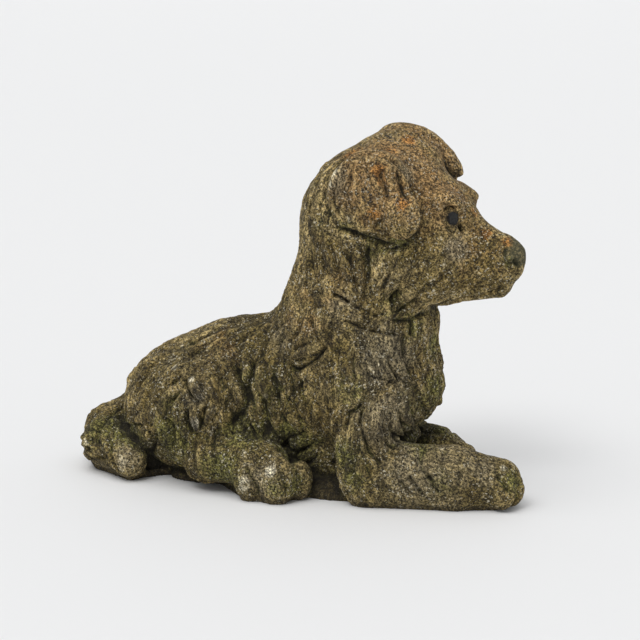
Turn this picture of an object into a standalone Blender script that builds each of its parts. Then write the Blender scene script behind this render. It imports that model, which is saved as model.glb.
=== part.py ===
"""Weathered cast-stone terrier lying down with its head up, one solid with its own low base.

The statue is laid out on a grid that is GRID_LENGTH units from the tail to the forepaws, so
its pose, proportions and carving are shares of its length: x runs forward to the nose, y to
the dog's left and z up from the underside. Strokes of the coat are laid out on a drawing of
the right side, in the drawing's own columns and rows, and are thrown onto the form from there.
"""

import math

import bmesh
import bpy
import numpy as np
from mathutils import Euler, Matrix, Vector

# Driving dimensions, in metres
LENGTH = 0.42
BASE_THICKNESS = 0.0070
LOCK_RELIEF = 0.0048
GROOVE_DEPTH = 0.0046
EYE_RADIUS = 0.0062

# The layout grid
GRID_LENGTH = 483.0
UNIT = LENGTH / GRID_LENGTH

# Mesh fineness, in grid units, and the size of the finished mesh
ROUGH_VOXEL = 6.0
FINE_VOXEL = 3.0
TRIANGLES = 9400
FLAT_BELOW = 0.9

# Stone
STONE_COLOUR = (0.130, 0.105, 0.062, 1.0)
STONE_ROUGHNESS = 0.92

# Ellipsoids: centre, radii, turn in degrees, reach of the fillet to what came before
BODY_MASSES = (
    ((-143, 2, 70), (68, 67, 67), (0, 0, 0), 0),
    ((-64, 0, 93), (97, 64, 76), (0, 5, 0), 26),
    ((38, 0, 118), (66, 66, 74), (0, 0, 0), 30),
    ((78, 0, 114), (42, 54, 74), (0, 0, 0), 20),
    ((101, 0, 113), (25, 36, 30), (0, 0, 0), 14),
    ((97, 0, 178), (22, 32, 26), (0, 0, 0), 10),
    ((0, 0, 40), (96, 42, 46), (0, 0, 0), 12),
    ((-118, -42, 77), (56, 40, 57), (0, 0, 0), 10),
    ((-118, 42, 77), (56, 38, 57), (0, 0, 0), 10),
    ((-54, -60, 35), (34, 25, 25), (0, 0, 0), 8),
)
HEAD_MASSES = (
    ((67, 0, 293), (68, 56, 60), (0, 0, 0), 14),
    ((36, 0, 270), (53, 52, 66), (0, 0, 0), 12),
    ((74, 20, 326), (46, 30, 36), (0, 0, 0), 12),
    ((112, 0, 270), (50, 43, 52), (0, 0, 0), 16),
    ((108, -22, 236), (46, 27, 38), (0, 12, 0), 14),
    ((108, 22, 236), (46, 27, 38), (0, 12, 0), 14),
    ((138, -24, 300), (18, 13, 11), (0, 24, 0), 9),
    ((138, 24, 300), (18, 13, 11), (0, 24, 0), 9),
)
# Tapered bars: start, end, start radius, end radius, sideways scale, reach of the fillet
NECK = (
    ((34, 0, 172), (42, 0, 250), 75, 57, 0.86, 32),
)
MUZZLE = (
    ((140, 0, 248), (184, 0, 242), 45, 27, 0.72, 14),
    ((130, 0, 222), (184, 0, 217), 28, 13, 0.86, 7),
)
LIMBS = (
    ((58, -44, 118), (64, -50, 30), 34, 26, 1.0, 12),
    ((72, -48, 36), (150, -32, 33), 28, 26, 1.0, 8),
    ((150, -32, 33), (192, -22, 28), 26, 22, 1.0, 6),
    ((58, 44, 118), (64, 50, 30), 34, 26, 1.0, 12),
    ((72, 50, 36), (110, 46, 33), 28, 24, 1.0, 8),
    ((110, 46, 33), (134, 40, 27), 24, 20, 1.0, 6),
    ((-98, -58, 34), (-50, -58, 34), 26, 25, 1.0, 8),
    ((-98, 60, 30), (-50, 64, 28), 24, 21, 1.0, 8),
)
TAIL_POINTS = ((-184, 12, 72), (-214, 18, 49), (-238, 8, 34), (-226, -26, 29), (-187, -53, 21))
TAIL_RADII = (25, 23, 25, 24, 19)
TAIL_REACH = 6
TOES = (
    ((-46, -78, 21), (14, 17, 22)), ((-19, -81, 22), (15, 17, 24)), ((-1, -62, 21), (13, 17, 22)),
    ((-45, 74, 17), (13, 14, 17)), ((-21, 78, 17), (13, 14, 17)), ((-9, 60, 17), (12, 13, 16)),
    ((201, -37, 19), (14, 9, 17)), ((206, -22, 20), (14, 9, 18)), ((201, -8, 19), (13, 9, 16)),
    ((143, 27, 18), (13, 9, 16)), ((147, 41, 18), (13, 9, 17)), ((141, 55, 17), (12, 8, 16)),
)
TOE_REACH = 3
EARS = (
    ((78, -43, 334), (34, 15, 17), (0, 0, 0), 8),
    ((70, -57, 309), (42, 11, 38), (6, -10, 0), 4),
    ((104, -59, 290), (19, 10, 24), (5, 10, 0), 4),
    ((82, 38, 345), (36, 20, 21), (0, 12, 0), 9),
    ((106, 43, 333), (28, 12, 17), (-8, 34, 0), 5),
    ((125, 42, 322), (15, 10, 9), (0, 36, 0), 5),
    ((88, 57, 320), (38, 10, 33), (-6, 14, 0), 4),
)
NOSE = ((199, 0, 248), (11, 12, 11))
NOSE_REACH = 4
EYES = ((149, -34, 285), (149, 34, 285))
EYE_REACH = 1.5

# Outline of the low base, seen from above
BASE_OUTLINE = (
    (-262, 6), (-238, -30), (-184, -58), (-162, -30), (-135, -16), (-116, -18), (-83, -50),
    (-52, -82), (-17, -88), (2, -62), (4, -42), (36, -47), (66, -56), (102, -67), (128, -58),
    (150, -42), (184, -30), (198, -10), (192, 24), (164, 56), (110, 74), (20, 74), (-40, 84),
    (-120, 76), (-210, 54), (-254, 34),
)
BASE_REACH = 4

# How the coat lies: place on the right side, direction, length of a lock there, and its relief
# as a share of LOCK_RELIEF. A length of zero leaves the place bare. The left side mirrors it.
COAT = (
    ((-190, -10, 118), (-1.0, -0.1, -0.8), 30, 0.45), ((-120, -10, 155), (-1.0, -0.3, -0.5), 40, 0.40),
    ((-55, -10, 176), (-0.9, -0.3, -0.5), 40, 0.45), ((-60, -55, 140), (-0.4, 0.0, -1.0), 50, 0.80),
    ((-60, -66, 90), (-0.1, 0.0, -1.0), 50, 1.00), ((0, -66, 110), (-0.1, 0.0, -1.0), 48, 1.00),
    ((-130, -60, 125), (-0.7, 0.0, -1.0), 46, 0.60), ((-180, -50, 80), (-0.8, 0.0, -0.9), 42, 0.60),
    ((-128, -82, 80), (-0.3, 0.0, -1.0), 42, 0.75), ((-86, -78, 66), (0.35, 0.0, -1.0), 40, 0.75),
    ((-215, 0, 80), (-1.0, 0.0, -0.8), 34, 0.60), ((-262, 8, 42), (0.1, -1.0, -0.4), 30, 0.65),
    ((-225, -45, 40), (0.9, -0.6, -0.2), 30, 0.65), ((-186, -66, 22), (0.7, -0.5, -0.2), 0, 0.50),
    ((-18, -10, 290), (-0.1, 0.0, -1.0), 48, 0.30), ((-24, -15, 240), (0.1, 0.0, -1.0), 52, 0.35),
    ((-38, -20, 200), (-0.4, 0.0, -1.0), 46, 0.45), ((20, -50, 240), (0.1, 0.0, -1.0), 54, 0.35),
    ((30, -60, 185), (0.05, 0.0, -1.0), 50, 0.40), ((36, -52, 300), (-0.15, 0.0, -1.0), 46, 0.30),
    ((70, -52, 240), (0.15, 0.0, -1.0), 48, 0.35), ((112, -46, 232), (-0.5, 0.0, -0.9), 32, 0.30),
    ((95, -46, 200), (-0.3, 0.0, -1.0), 38, 0.40), ((68, -10, 352), (-1.0, 0.0, 0.1), 0, 0.30),
    ((140, -20, 312), (-0.6, 0.0, 0.8), 0, 0.30), ((185, -18, 250), (-1.0, 0.0, 0.1), 0, 0.30),
    ((90, -66, 300), (0.3, 0.0, -1.0), 0, 0.30), ((60, -74, 130), (0.1, 0.0, -1.0), 52, 0.65),
    ((62, -76, 80), (0.0, 0.0, -1.0), 50, 0.70), ((126, -10, 120), (0.0, 0.0, -1.0), 50, 0.45),
    ((106, -40, 120), (0.1, 0.0, -1.0), 50, 0.50), ((110, -56, 40), (0.9, 0.0, -0.5), 0, 0.30),
    ((190, -40, 35), (1.0, 0.0, -0.2), 0, 0.30), ((-60, -80, 36), (0.8, -0.4, -0.3), 0, 0.40),
    ((64, -76, 36), (0.0, 0.0, -1.0), 42, 0.60), ((-140, -80, 44), (0.1, 0.0, -1.0), 34, 0.75),
)
COAT_REACH = 34.0
LOCK_SPACING = 0.36
LOCK_WIDTH = 0.12
LOCK_WAVE = 26.0
LOCK_WAVE_STEP = 0.75
LOCK_STEPS = 9
STROKE_STEPS = 12
LOCK_TRIES = 6000
LOCK_SEED = 11
SHORTEST_LOCK = 16.0
LOWEST_LOCK = 16.0
SOFTENING = 1
CARVING_SINK = 0.5

# The drawing of the right side: where its eye stands and where its middle points
DRAWING_TURN = 20.0
DRAWING_DROP = 12.0
DRAWING_DISTANCE = 2400.0
DRAWING_MIDDLE = (320.0, 320.0)
DRAWING_TARGET = (0.0, 0.0, 169.0)
MARCH_STEPS = 60


def lock(width, share, *points, both=True):
    """A raised lock: half width in units, height as a share of LOCK_RELIEF, places on the drawing."""
    return "lock", width, share, both, points


def cut(width, share, *points, both=True):
    """A sunk cut: half width in units, depth as a share of GROOVE_DEPTH, places on the drawing."""
    return "cut", width, share, both, points


HEAD_STROKES = (
    cut(2.4, 1.1, (401, 164), (400, 181), (403, 194), (414, 203)),
    cut(2.0, 0.8, (381, 180), (385, 190), (386, 200)),
    cut(2.2, 0.9, (402, 155), (407, 160), (412, 166)),
    cut(2.4, 1.2, (333, 228), (345, 230), (356, 234), (368, 239), (382, 244), (400, 244)),
    cut(2.0, 0.9, (380, 252), (395, 248), (410, 243)),
    cut(2.4, 1.0, (331, 176), (324, 192), (325, 207), (332, 219)),
    cut(1.8, 0.7, (338, 178), (332, 194), (334, 208), (340, 216)),
    cut(1.8, 0.8, (375, 230), (378, 224), (383, 220)),
    cut(1.8, 1.0, (457.5, 215), (459, 220), (461, 228), (465, 233)),
    cut(1.6, 0.8, (444, 210), (450, 208.5), (457, 211)),
    cut(1.6, 0.7, (446, 226), (450, 231), (457, 232)),
    cut(1.7, 1.0, (454, 301), (467, 298), (482, 296.5), (496, 291.5), (505, 284.5)),
    cut(1.8, 0.8, (506, 247), (505, 256), (508, 266), (514, 273)),
    cut(2.2, 1.3, (514, 259), (517, 264), (521, 266)),
    lock(6.0, 0.6, (462, 296), (476, 293), (490, 289)),
)
NECK_STROKES = (
    lock(7.0, 1.0, (315, 186), (310, 204), (309, 222), (311, 240)),
    lock(7.5, 1.1, (319, 186), (314, 206), (313, 226), (318, 246), (322, 258)),
    lock(7.5, 1.0, (307, 238), (305, 254), (307, 270), (311, 284)),
    lock(7.0, 1.0, (326, 226), (324, 244), (329, 262), (337, 278)),
    lock(7.5, 1.0, (345, 238), (341, 254), (345, 270), (352, 284)),
    lock(7.0, 1.1, (361, 244), (357, 258), (358, 272), (363, 288)),
    lock(7.5, 1.0, (316, 266), (312, 282), (316, 296), (324, 308)),
    lock(7.0, 0.9, (386, 258), (380, 270), (377, 282), (374, 294)),
    lock(6.5, 1.0, (404, 268), (396, 278), (390, 290), (386, 300)),
    lock(7.0, 1.0, (420, 282), (412, 292), (403, 300), (392, 312)),
    lock(6.0, 0.9, (434, 294), (424, 302), (412, 308), (398, 314)),
    cut(2.4, 1.1, (369, 242), (368, 258), (369, 274), (365, 290), (364, 303)),
    cut(2.2, 1.0, (396, 290), (392, 296), (389, 302)),
    cut(2.0, 1.0, (311, 198), (308, 218), (311, 238), (315, 254)),
    cut(2.0, 0.9, (322, 190), (319, 208), (321, 226)),
    cut(1.8, 1.8, (331, 293.5), (341, 298), (350, 304)),
    cut(1.8, 0.8, (350, 304), (364, 311), (380, 317)),
    cut(1.8, 1.0, (337, 319), (351, 323), (364, 328), (384, 333), (402, 335)),
    cut(3.4, 1.3, (412, 318), (414, 326), (412, 338)),
    cut(2.4, 1.1, (390, 319), (402, 321), (416, 317), (432, 310)),
    lock(5.5, 1.0, (394, 317), (384, 320), (375, 323), (367, 330)),
)
CHEST_STROKES = (
    cut(2.4, 1.3, (290, 358), (294, 369), (306, 365), (318, 357), (327, 347)),
    lock(8.0, 1.5, (326, 338), (316, 346), (304, 353), (292, 357)),
    cut(2.2, 1.1, (300, 378), (301, 393), (308, 408)),
    cut(2.0, 1.0, (309, 318), (312, 327), (317, 335), (317, 343)),
    cut(1.9, 0.9, (330, 319), (331, 330), (331, 342)),
    cut(2.0, 0.7, (349, 358), (350, 372)),
    cut(2.4, 1.0, (386, 387), (392, 382), (400, 377)),
    cut(3.0, 1.0, (407, 334), (405, 346), (406, 360)),
    lock(8.0, 1.0, (352, 338), (346, 352), (346, 368), (352, 382)),
    lock(7.5, 0.9, (366, 344), (368, 358), (376, 370), (392, 378)),
    lock(8.0, 1.0, (386, 338), (380, 354), (384, 370), (396, 380)),
    lock(7.5, 1.0, (332, 346), (326, 362), (326, 378), (332, 392)),
    lock(7.0, 0.9, (398, 342), (396, 358), (402, 372), (412, 384)),
    lock(7.0, 1.0, (416, 336), (412, 352), (416, 368), (422, 382)),
    lock(6.5, 1.0, (428, 330), (428, 346), (432, 360), (436, 374)),
    lock(7.0, 1.1, (428, 374), (426, 388), (428, 400), (430, 412)),
    lock(7.5, 1.0, (410, 388), (404, 402), (406, 416), (414, 426)),
    lock(7.0, 0.9, (312, 376), (316, 392), (324, 406), (328, 420)),
    lock(6.5, 0.9, (301, 302), (297, 314), (294, 328), (290, 340)),
    lock(6.5, 0.9, (322, 312), (318, 324), (322, 336), (330, 348)),
)
FORELEG_STROKES = (
    cut(2.4, 1.3, (364, 400), (357, 410), (347, 414), (345, 423), (343, 430)),
    cut(2.8, 1.3, (370, 400), (363, 412), (362, 422), (367, 437), (368, 449), (375, 457), (385, 468)),
    cut(2.2, 1.2, (383, 433), (388, 442), (396, 448)),
    cut(2.0, 0.7, (386, 450), (395, 454), (402, 461)),
    cut(5.0, 1.9, (400, 441), (408, 440), (416, 434), (424, 427), (430, 425)),
    cut(1.8, 0.7, (418, 432), (422, 444), (426, 452)),
    cut(2.4, 1.0, (408, 474), (414, 486), (424, 497)),
    cut(2.2, 0.7, (399, 480), (405, 489), (411, 495)),
    cut(2.4, 0.8, (427, 474), (433, 486), (439, 495)),
    cut(2.2, 0.7, (461, 470), (459, 482), (456, 493)),
    cut(2.4, 1.1, (496, 474), (503, 484), (511, 494)),
    cut(2.0, 0.7, (505, 461), (512, 470), (519, 478), both=False),
    lock(8.0, 1.0, (352, 416), (352, 436), (350, 456), (348, 476)),
    lock(8.0, 0.9, (376, 404), (369, 418), (371, 434), (376, 450)),
    lock(7.0, 0.9, (390, 396), (380, 412), (378, 428), (384, 444)),
    lock(7.0, 0.9, (398, 392), (394, 410), (396, 426), (404, 436)),
    lock(7.0, 0.9, (360, 446), (358, 460), (362, 474), (372, 484)),
)
FLANK_STROKES = (
    cut(2.8, 1.1, (184, 343), (204, 338), (228, 333)),
    cut(2.6, 1.2, (185, 376), (189, 389), (194, 398)),
    cut(2.6, 1.2, (187, 408), (188, 424), (199, 437)),
    cut(2.4, 1.2, (204, 406), (204, 418), (199, 430)),
    cut(2.2, 1.2, (170, 384), (175, 379), (181, 373)),
    cut(2.2, 1.1, (180, 389), (174, 396), (169, 402)),
    cut(2.6, 1.2, (163, 416), (171, 429), (171, 443)),
    cut(2.2, 1.0, (156, 430), (158, 445), (165, 451)),
    cut(2.2, 1.0, (180, 420), (182, 434)),
    cut(2.4, 1.0, (139, 393), (150, 383), (158, 371)),
    cut(2.0, 0.9, (148, 372), (156, 362), (166, 354)),
    cut(4.8, 1.8, (233, 356), (238, 380), (246, 400), (240, 416), (228, 430)),
    cut(3.4, 1.3, (253, 358), (253, 371), (247, 386), (252, 404), (256, 424)),
    cut(4.0, 1.5, (262, 396), (266, 415), (270, 438)),
    cut(2.4, 1.0, (214, 356), (220, 378), (226, 400), (224, 420)),
    cut(2.4, 1.0, (272, 372), (276, 392), (284, 412)),
    lock(6.5, 1.3, (192, 368), (191, 380), (196, 392), (204, 402)),
    lock(6.5, 1.5, (196, 400), (193, 410), (194, 420), (198, 433)),
    lock(6.5, 1.2, (218, 388), (216, 400), (211, 412), (205, 424)),
    lock(5.5, 1.2, (181, 362), (176, 368), (171, 376)),
    lock(7.0, 1.2, (180, 382), (168, 394), (162, 404), (164, 416)),
    lock(6.5, 1.1, (162, 420), (166, 430), (168, 440), (166, 450)),
    lock(7.0, 1.1, (176, 408), (178, 420), (184, 432), (192, 444)),
    lock(7.0, 1.1, (222, 358), (228, 376), (236, 392), (240, 408)),
    lock(7.0, 1.0, (206, 362), (208, 378), (214, 392), (218, 406)),
    lock(7.5, 1.1, (262, 352), (260, 370), (262, 386), (268, 400)),
    lock(7.0, 1.0, (276, 350), (278, 368), (286, 384), (292, 400)),
    lock(7.0, 1.0, (282, 396), (286, 410), (294, 422), (302, 434)),
    lock(6.0, 0.9, (238, 344), (244, 356), (246, 370), (242, 382)),
    lock(7.0, 1.0, (296, 322), (284, 330), (274, 340), (268, 352)),
    lock(7.0, 0.9, (258, 322), (246, 332), (232, 340), (220, 352)),
    lock(7.0, 0.9, (226, 326), (212, 336), (198, 346), (186, 356)),
    lock(7.0, 1.0, (158, 376), (148, 386), (142, 398), (138, 410)),
    lock(6.0, 1.1, (166, 350), (154, 360), (144, 374), (136, 388)),
    lock(6.0, 1.0, (250, 400), (252, 414), (258, 428), (264, 440)),
)
TAIL_STROKES = (
    cut(2.8, 1.4, (146, 424), (152, 435), (151, 448), (150, 460), (141, 474), both=False),
    cut(2.2, 1.0, (116, 431), (131, 435), (142, 443), (145, 452), both=False),
    cut(2.4, 1.1, (110, 444), (111, 458), (115, 468), both=False),
    cut(2.0, 1.3, (82, 440), (88, 451), (96, 459), (106, 464), both=False),
    lock(7.0, 1.0, (104, 408), (94, 416), (88, 428), (86, 440), both=False),
    lock(7.0, 1.0, (120, 412), (110, 422), (102, 434), (100, 448), both=False),
    lock(7.0, 1.0, (134, 414), (126, 424), (118, 434), (110, 440), both=False),
)
HIND_FOOT_STROKES = (
    cut(2.4, 1.2, (243, 462), (249, 474), (257, 486), (260, 496)),
    cut(2.4, 1.2, (277, 472), (281, 478), (286, 487), (288, 496)),
    cut(2.2, 0.9, (296, 466), (303, 470), (307, 478)),
    cut(2.4, 1.3, (279, 451), (287, 444), (298, 444)),
    lock(8.0, 1.4, (316, 428), (306, 438), (294, 443), (280, 448)),
    lock(7.0, 1.1, (318, 440), (312, 450), (302, 456), (290, 458)),
    cut(2.4, 1.1, (334, 438), (336, 452), (335, 468), both=False),
)
STROKES = (HEAD_STROKES + NECK_STROKES + CHEST_STROKES + FORELEG_STROKES + FLANK_STROKES
           + TAIL_STROKES + HIND_FOOT_STROKES)


def turned(degrees):
    """Axes of a mass turned by the given x, y and z angles, as an array."""
    return np.array(Euler([math.radians(a) for a in degrees], "XYZ").to_matrix(), dtype=np.float32)


def ellipsoid(x, y, z, centre, radii, turn=(0, 0, 0)):
    """Signed distance, close to true near the surface, to a turned ellipsoid."""
    x = x - centre[0]
    y = y - centre[1]
    z = z - centre[2]
    if any(turn):
        axes = turned(turn)
        x, y, z = (axes[0, i] * x + axes[1, i] * y + axes[2, i] * z for i in range(3))
    u, v, w = x / radii[0], y / radii[1], z / radii[2]
    first = np.sqrt(u * u + v * v + w * w)
    u, v, w = u / radii[0], v / radii[1], w / radii[2]
    second = np.sqrt(u * u + v * v + w * w)
    return first * (first - 1.0) / np.maximum(second, 1e-5)


def tapered(x, y, z, start, end, start_radius, end_radius, side_scale=1.0):
    """Signed distance to a round bar whose radius runs from one end to the other."""
    dx, dy, dz = end[0] - start[0], (end[1] - start[1]) / side_scale, end[2] - start[2]
    x = x - start[0]
    y = (y - start[1]) / side_scale
    z = z - start[2]
    along = np.clip((x * dx + y * dy + z * dz) / (dx * dx + dy * dy + dz * dz), 0.0, 1.0)
    reach = np.sqrt((x - along * dx) ** 2 + (y - along * dy) ** 2 + (z - along * dz) ** 2)
    return (reach - start_radius - (end_radius - start_radius) * along) * (0.3 + 0.7 * side_scale)


def blend(first, second, reach):
    """Union of two fields with a fillet of the given reach."""
    lower = np.minimum(first, second)
    if reach <= 0:
        return lower
    gap = np.maximum(1.0 - np.abs(first - second) / reach, 0.0)
    return lower - gap * gap * (reach * 0.25)


def base_field(x, y, z):
    """Signed distance to the low base, a plate with an irregular outline."""
    nearest = np.full(x.shape, 1e6, dtype=np.float32)
    inside = np.zeros(x.shape, dtype=bool)
    for i, (ax, ay) in enumerate(BASE_OUTLINE):
        bx, by = BASE_OUTLINE[(i + 1) % len(BASE_OUTLINE)]
        ex, ey = bx - ax, by - ay
        lx, ly = x - ax, y - ay
        along = np.clip((lx * ex + ly * ey) / (ex * ex + ey * ey), 0.0, 1.0)
        nearest = np.minimum(nearest, (lx - along * ex) ** 2 + (ly - along * ey) ** 2)
        if ay != by:
            inside ^= ((ay > y) != (by > y)) & (x < ax + ex * ly / ey)
    sideways = np.sqrt(nearest) * np.where(inside, -1.0, 1.0)
    height = np.abs(z) - BASE_THICKNESS / UNIT
    outside = np.sqrt(np.maximum(sideways, 0.0) ** 2 + np.maximum(height, 0.0) ** 2)
    return outside + np.minimum(np.maximum(sideways, height), 0.0)


def tail_bars():
    """The tail as tapered bars, end to end."""
    for i in range(len(TAIL_POINTS) - 1):
        yield TAIL_POINTS[i], TAIL_POINTS[i + 1], TAIL_RADII[i], TAIL_RADII[i + 1]


def form(points):
    """Signed distance to the whole statue before its coat is carved, in grid units."""
    x, y, z = (np.ascontiguousarray(points[:, i], dtype=np.float32) for i in range(3))
    field = np.full(x.shape, 1e3, dtype=np.float32)
    for centre, radii, turn, reach in BODY_MASSES:
        field = blend(field, ellipsoid(x, y, z, centre, radii, turn), reach)
    for start, end, first, second, side, reach in NECK:
        field = blend(field, tapered(x, y, z, start, end, first, second, side), reach)
    for centre, radii, turn, reach in HEAD_MASSES:
        field = blend(field, ellipsoid(x, y, z, centre, radii, turn), reach)
    for start, end, first, second, side, reach in MUZZLE + LIMBS:
        field = blend(field, tapered(x, y, z, start, end, first, second, side), reach)
    for start, end, first, second in tail_bars():
        field = blend(field, tapered(x, y, z, start, end, first, second), TAIL_REACH)
    for centre, radii in TOES:
        field = blend(field, ellipsoid(x, y, z, centre, radii), TOE_REACH)
    for centre, radii, turn, reach in EARS:
        field = blend(field, ellipsoid(x, y, z, centre, radii, turn), reach)
    field = blend(field, ellipsoid(x, y, z, *NOSE), NOSE_REACH)
    for place in EYES:
        field = blend(field, ellipsoid(x, y, z, place, (EYE_RADIUS / UNIT,) * 3), EYE_REACH)
    field = blend(field, base_field(x, y, z), BASE_REACH)
    return np.maximum(field, -z)


def slope(points, level, step=0.5):
    """Gradient of the form at each point, where its value is already known."""
    rows = []
    for axis in range(3):
        shift = np.zeros(3)
        shift[axis] = step
        rows.append((form(points + shift) - level) / step)
    return np.stack(rows, axis=1)


def settle(points, rounds=2):
    """Move each point along the slope until it lies on the form."""
    for _ in range(rounds):
        level = form(points)
        rise = slope(points, level)
        square = np.maximum((rise ** 2).sum(axis=1), 0.3)
        points = points - (level / square)[:, None] * rise
    return points


def facing(points):
    """Outward direction of the form at each point."""
    rise = slope(points, form(points))
    return rise / np.maximum(np.linalg.norm(rise, axis=1), 1e-6)[:, None]


def unit_sphere():
    """A sphere of radius one, to be stretched into each mass."""
    ball = bpy.data.meshes.new("ball")
    builder = bmesh.new()
    bmesh.ops.create_uvsphere(builder, u_segments=28, v_segments=14, radius=1.0)
    builder.to_mesh(ball)
    builder.free()
    return ball


def seed_spheres(mesh):
    """Fill a mesh with spheres along every mass, a first draft for the remesher."""
    spheres = [(m[0], m[1], m[2]) for m in BODY_MASSES + HEAD_MASSES + EARS]
    spheres += [(centre, radii, (0, 0, 0)) for centre, radii in TOES + (NOSE,)]
    bars = [bar[:5] for bar in NECK + MUZZLE + LIMBS] + [(*bar, 1.0) for bar in tail_bars()]
    for start, end, first, second, side in bars:
        for share in np.linspace(0.0, 1.0, 6):
            radius = first + (second - first) * share
            place = tuple(a + (b - a) * share for a, b in zip(start, end))
            spheres.append((place, (radius, radius * side, radius), (0, 0, 0)))
    ball = unit_sphere()
    builder = bmesh.new()
    for centre, radii, turn in spheres:
        axes = Matrix(turned(turn).tolist()).to_4x4()
        piece = ball.copy()
        piece.transform(Matrix.Translation(Vector(centre)) @ axes @ Matrix.Diagonal((*radii, 1.0)))
        builder.from_mesh(piece)
        bpy.data.meshes.remove(piece)
    bpy.data.meshes.remove(ball)
    floor = builder.faces.new([builder.verts.new((x, y, 0.0)) for x, y in BASE_OUTLINE])
    raised = bmesh.ops.extrude_face_region(builder, geom=[floor])
    lift = [v for v in raised["geom"] if isinstance(v, bmesh.types.BMVert)]
    bmesh.ops.translate(builder, verts=lift, vec=(0, 0, BASE_THICKNESS / UNIT))
    bmesh.ops.recalc_face_normals(builder, faces=builder.faces)
    builder.to_mesh(mesh)
    builder.free()


def read_points(mesh):
    """Vertex places of a mesh as an array."""
    flat = np.empty(len(mesh.vertices) * 3, dtype=np.float32)
    mesh.vertices.foreach_get("co", flat)
    return flat.reshape(-1, 3).astype(float)


def write_points(mesh, points):
    """Move the vertices of a mesh to the places in an array."""
    mesh.vertices.foreach_set("co", points.astype(np.float32).ravel())
    mesh.update()


def apply_modifiers(statue):
    """Keep the evaluated mesh and drop the modifiers."""
    graph = bpy.context.evaluated_depsgraph_get()
    result = bpy.data.meshes.new_from_object(statue.evaluated_get(graph))
    former = statue.data
    statue.modifiers.clear()
    statue.data = result
    bpy.data.meshes.remove(former)


def remesh(statue, voxel):
    """Replace the statue's mesh by one even skin."""
    modifier = statue.modifiers.new("Even skin", "REMESH")
    modifier.mode = "VOXEL"
    modifier.voxel_size = voxel
    apply_modifiers(statue)


def thrown(drawn):
    """Places on the form under points of the drawing."""
    turn, drop = math.radians(DRAWING_TURN), math.radians(DRAWING_DROP)
    look = np.array((-math.sin(turn) * math.cos(drop), math.cos(turn) * math.cos(drop), -math.sin(drop)))
    right = np.array((math.cos(turn), math.sin(turn), 0.0))
    up = np.cross(right, look)
    eye = np.array(DRAWING_TARGET) - look * DRAWING_DISTANCE
    offset = np.array(drawn, dtype=float) - np.array(DRAWING_MIDDLE)
    rays = look * DRAWING_DISTANCE + offset[:, :1] * right - offset[:, 1:] * up
    rays /= np.linalg.norm(rays, axis=1)[:, None]
    reach = np.full(len(rays), DRAWING_DISTANCE - GRID_LENGTH)
    for _ in range(MARCH_STEPS):
        reach = reach + form(eye + rays * reach[:, None]) * 0.9
    return settle(eye + rays * reach[:, None])


def resampled(path, count):
    """The path again with evenly spread points on smooth bends."""
    path = np.asarray(path, dtype=float)
    marks = np.linspace(0.0, len(path) - 1.0, count)
    ends = np.vstack([2 * path[0] - path[1], path, 2 * path[-1] - path[-2]])
    index = np.minimum(marks.astype(int), len(path) - 2)
    t = (marks - index)[:, None]
    a, b, c, d = (ends[index + k] for k in range(4))
    return 0.5 * (2 * b + (c - a) * t + (2 * a - 5 * b + 4 * c - d) * t ** 2
                  + (3 * b - a - 3 * c + d) * t ** 3)


def mirrored(path):
    """The same places on the left side."""
    return settle(path * np.array((1.0, -1.0, 1.0)))


def smooth(low, high, value):
    """Ramp from 0 to 1 between two limits, with soft ends."""
    t = np.clip((value - low) / (high - low), 0.0, 1.0)
    return t * t * (3.0 - 2.0 * t)


class Carving:
    """Relief over the form, in grid units, built up stroke by stroke."""

    def __init__(self, points, edges):
        self.points = points
        self.edges = edges
        self.out = facing(points)
        self.height = np.zeros(len(points))

    def near(self, path, width):
        """Vertices near a path, their distance from it and their share of the way along it."""
        middle = path[len(path) // 2]
        reach = np.linalg.norm(path - middle, axis=1).max() + width
        square = ((self.points - middle) ** 2).sum(axis=1)
        picked = np.nonzero(square < reach * reach)[0]
        spots = self.points[picked]
        best = np.full(len(picked), np.inf)
        share = np.zeros(len(picked))
        for i in range(len(path) - 1):
            edge = path[i + 1] - path[i]
            local = spots - path[i]
            along = np.clip(local @ edge / max(edge @ edge, 1e-9), 0.0, 1.0)
            apart = np.linalg.norm(local - along[:, None] * edge, axis=1)
            closer = apart < best
            best[closer] = apart[closer]
            share[closer] = (i + along[closer]) / (len(path) - 1)
        same_side = self.out[picked] @ self.out[np.argmin(square)] > 0.0
        keep = (best < width) & same_side
        return picked[keep], best[keep], share[keep]

    def groove(self, path, half_width, depth):
        """Cut a line that is deepest along its middle stretch."""
        spots, apart, share = self.near(path, half_width * 3.0)
        ends = smooth(0.0, 0.15, share) * smooth(1.0, 0.85, share)
        self.height[spots] -= depth * ends * np.exp(-(apart / half_width) ** 2)

    def lock(self, path, half_width, height):
        """Lay a tongue of hair that rises from its root to a pointed tip, cut round its edge."""
        spots, apart, share = self.near(path, half_width * 1.7)
        wide = half_width * (0.5 + 0.9 * share) * np.sqrt(np.clip(1.0 - share ** 3, 0.0, 1.0))
        across = apart / np.maximum(wide, 0.4)
        rise = smooth(0.0, 0.7, share) * height
        crown = rise * np.sqrt(np.clip(1.0 - across ** 2, 0.0, 1.0))
        inside = smooth(1.05, 0.75, across) * smooth(0.0, 0.3, share)
        cut = rise * 0.6 * np.exp(-((across - 1.12) / 0.28) ** 2) * (1.0 - inside)
        self.height[spots] = self.height[spots] * (1.0 - inside) + crown * inside - cut

    def soften(self, rounds):
        """Wear the relief down by averaging it over neighbouring vertices."""
        first, second = self.edges[:, 0], self.edges[:, 1]
        count = len(self.height)
        shared = np.bincount(first, minlength=count) + np.bincount(second, minlength=count)
        for _ in range(rounds):
            total = np.bincount(first, self.height[second], count)
            total += np.bincount(second, self.height[first], count)
            self.height = 0.5 * self.height + 0.5 * total / np.maximum(shared, 1)

    def relief(self):
        """The carved places of all vertices, with the underside left flat."""
        standing = smooth(0.5, 6.0, self.points[:, 2])
        return self.points + self.out * (self.height * standing)[:, None]


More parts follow.
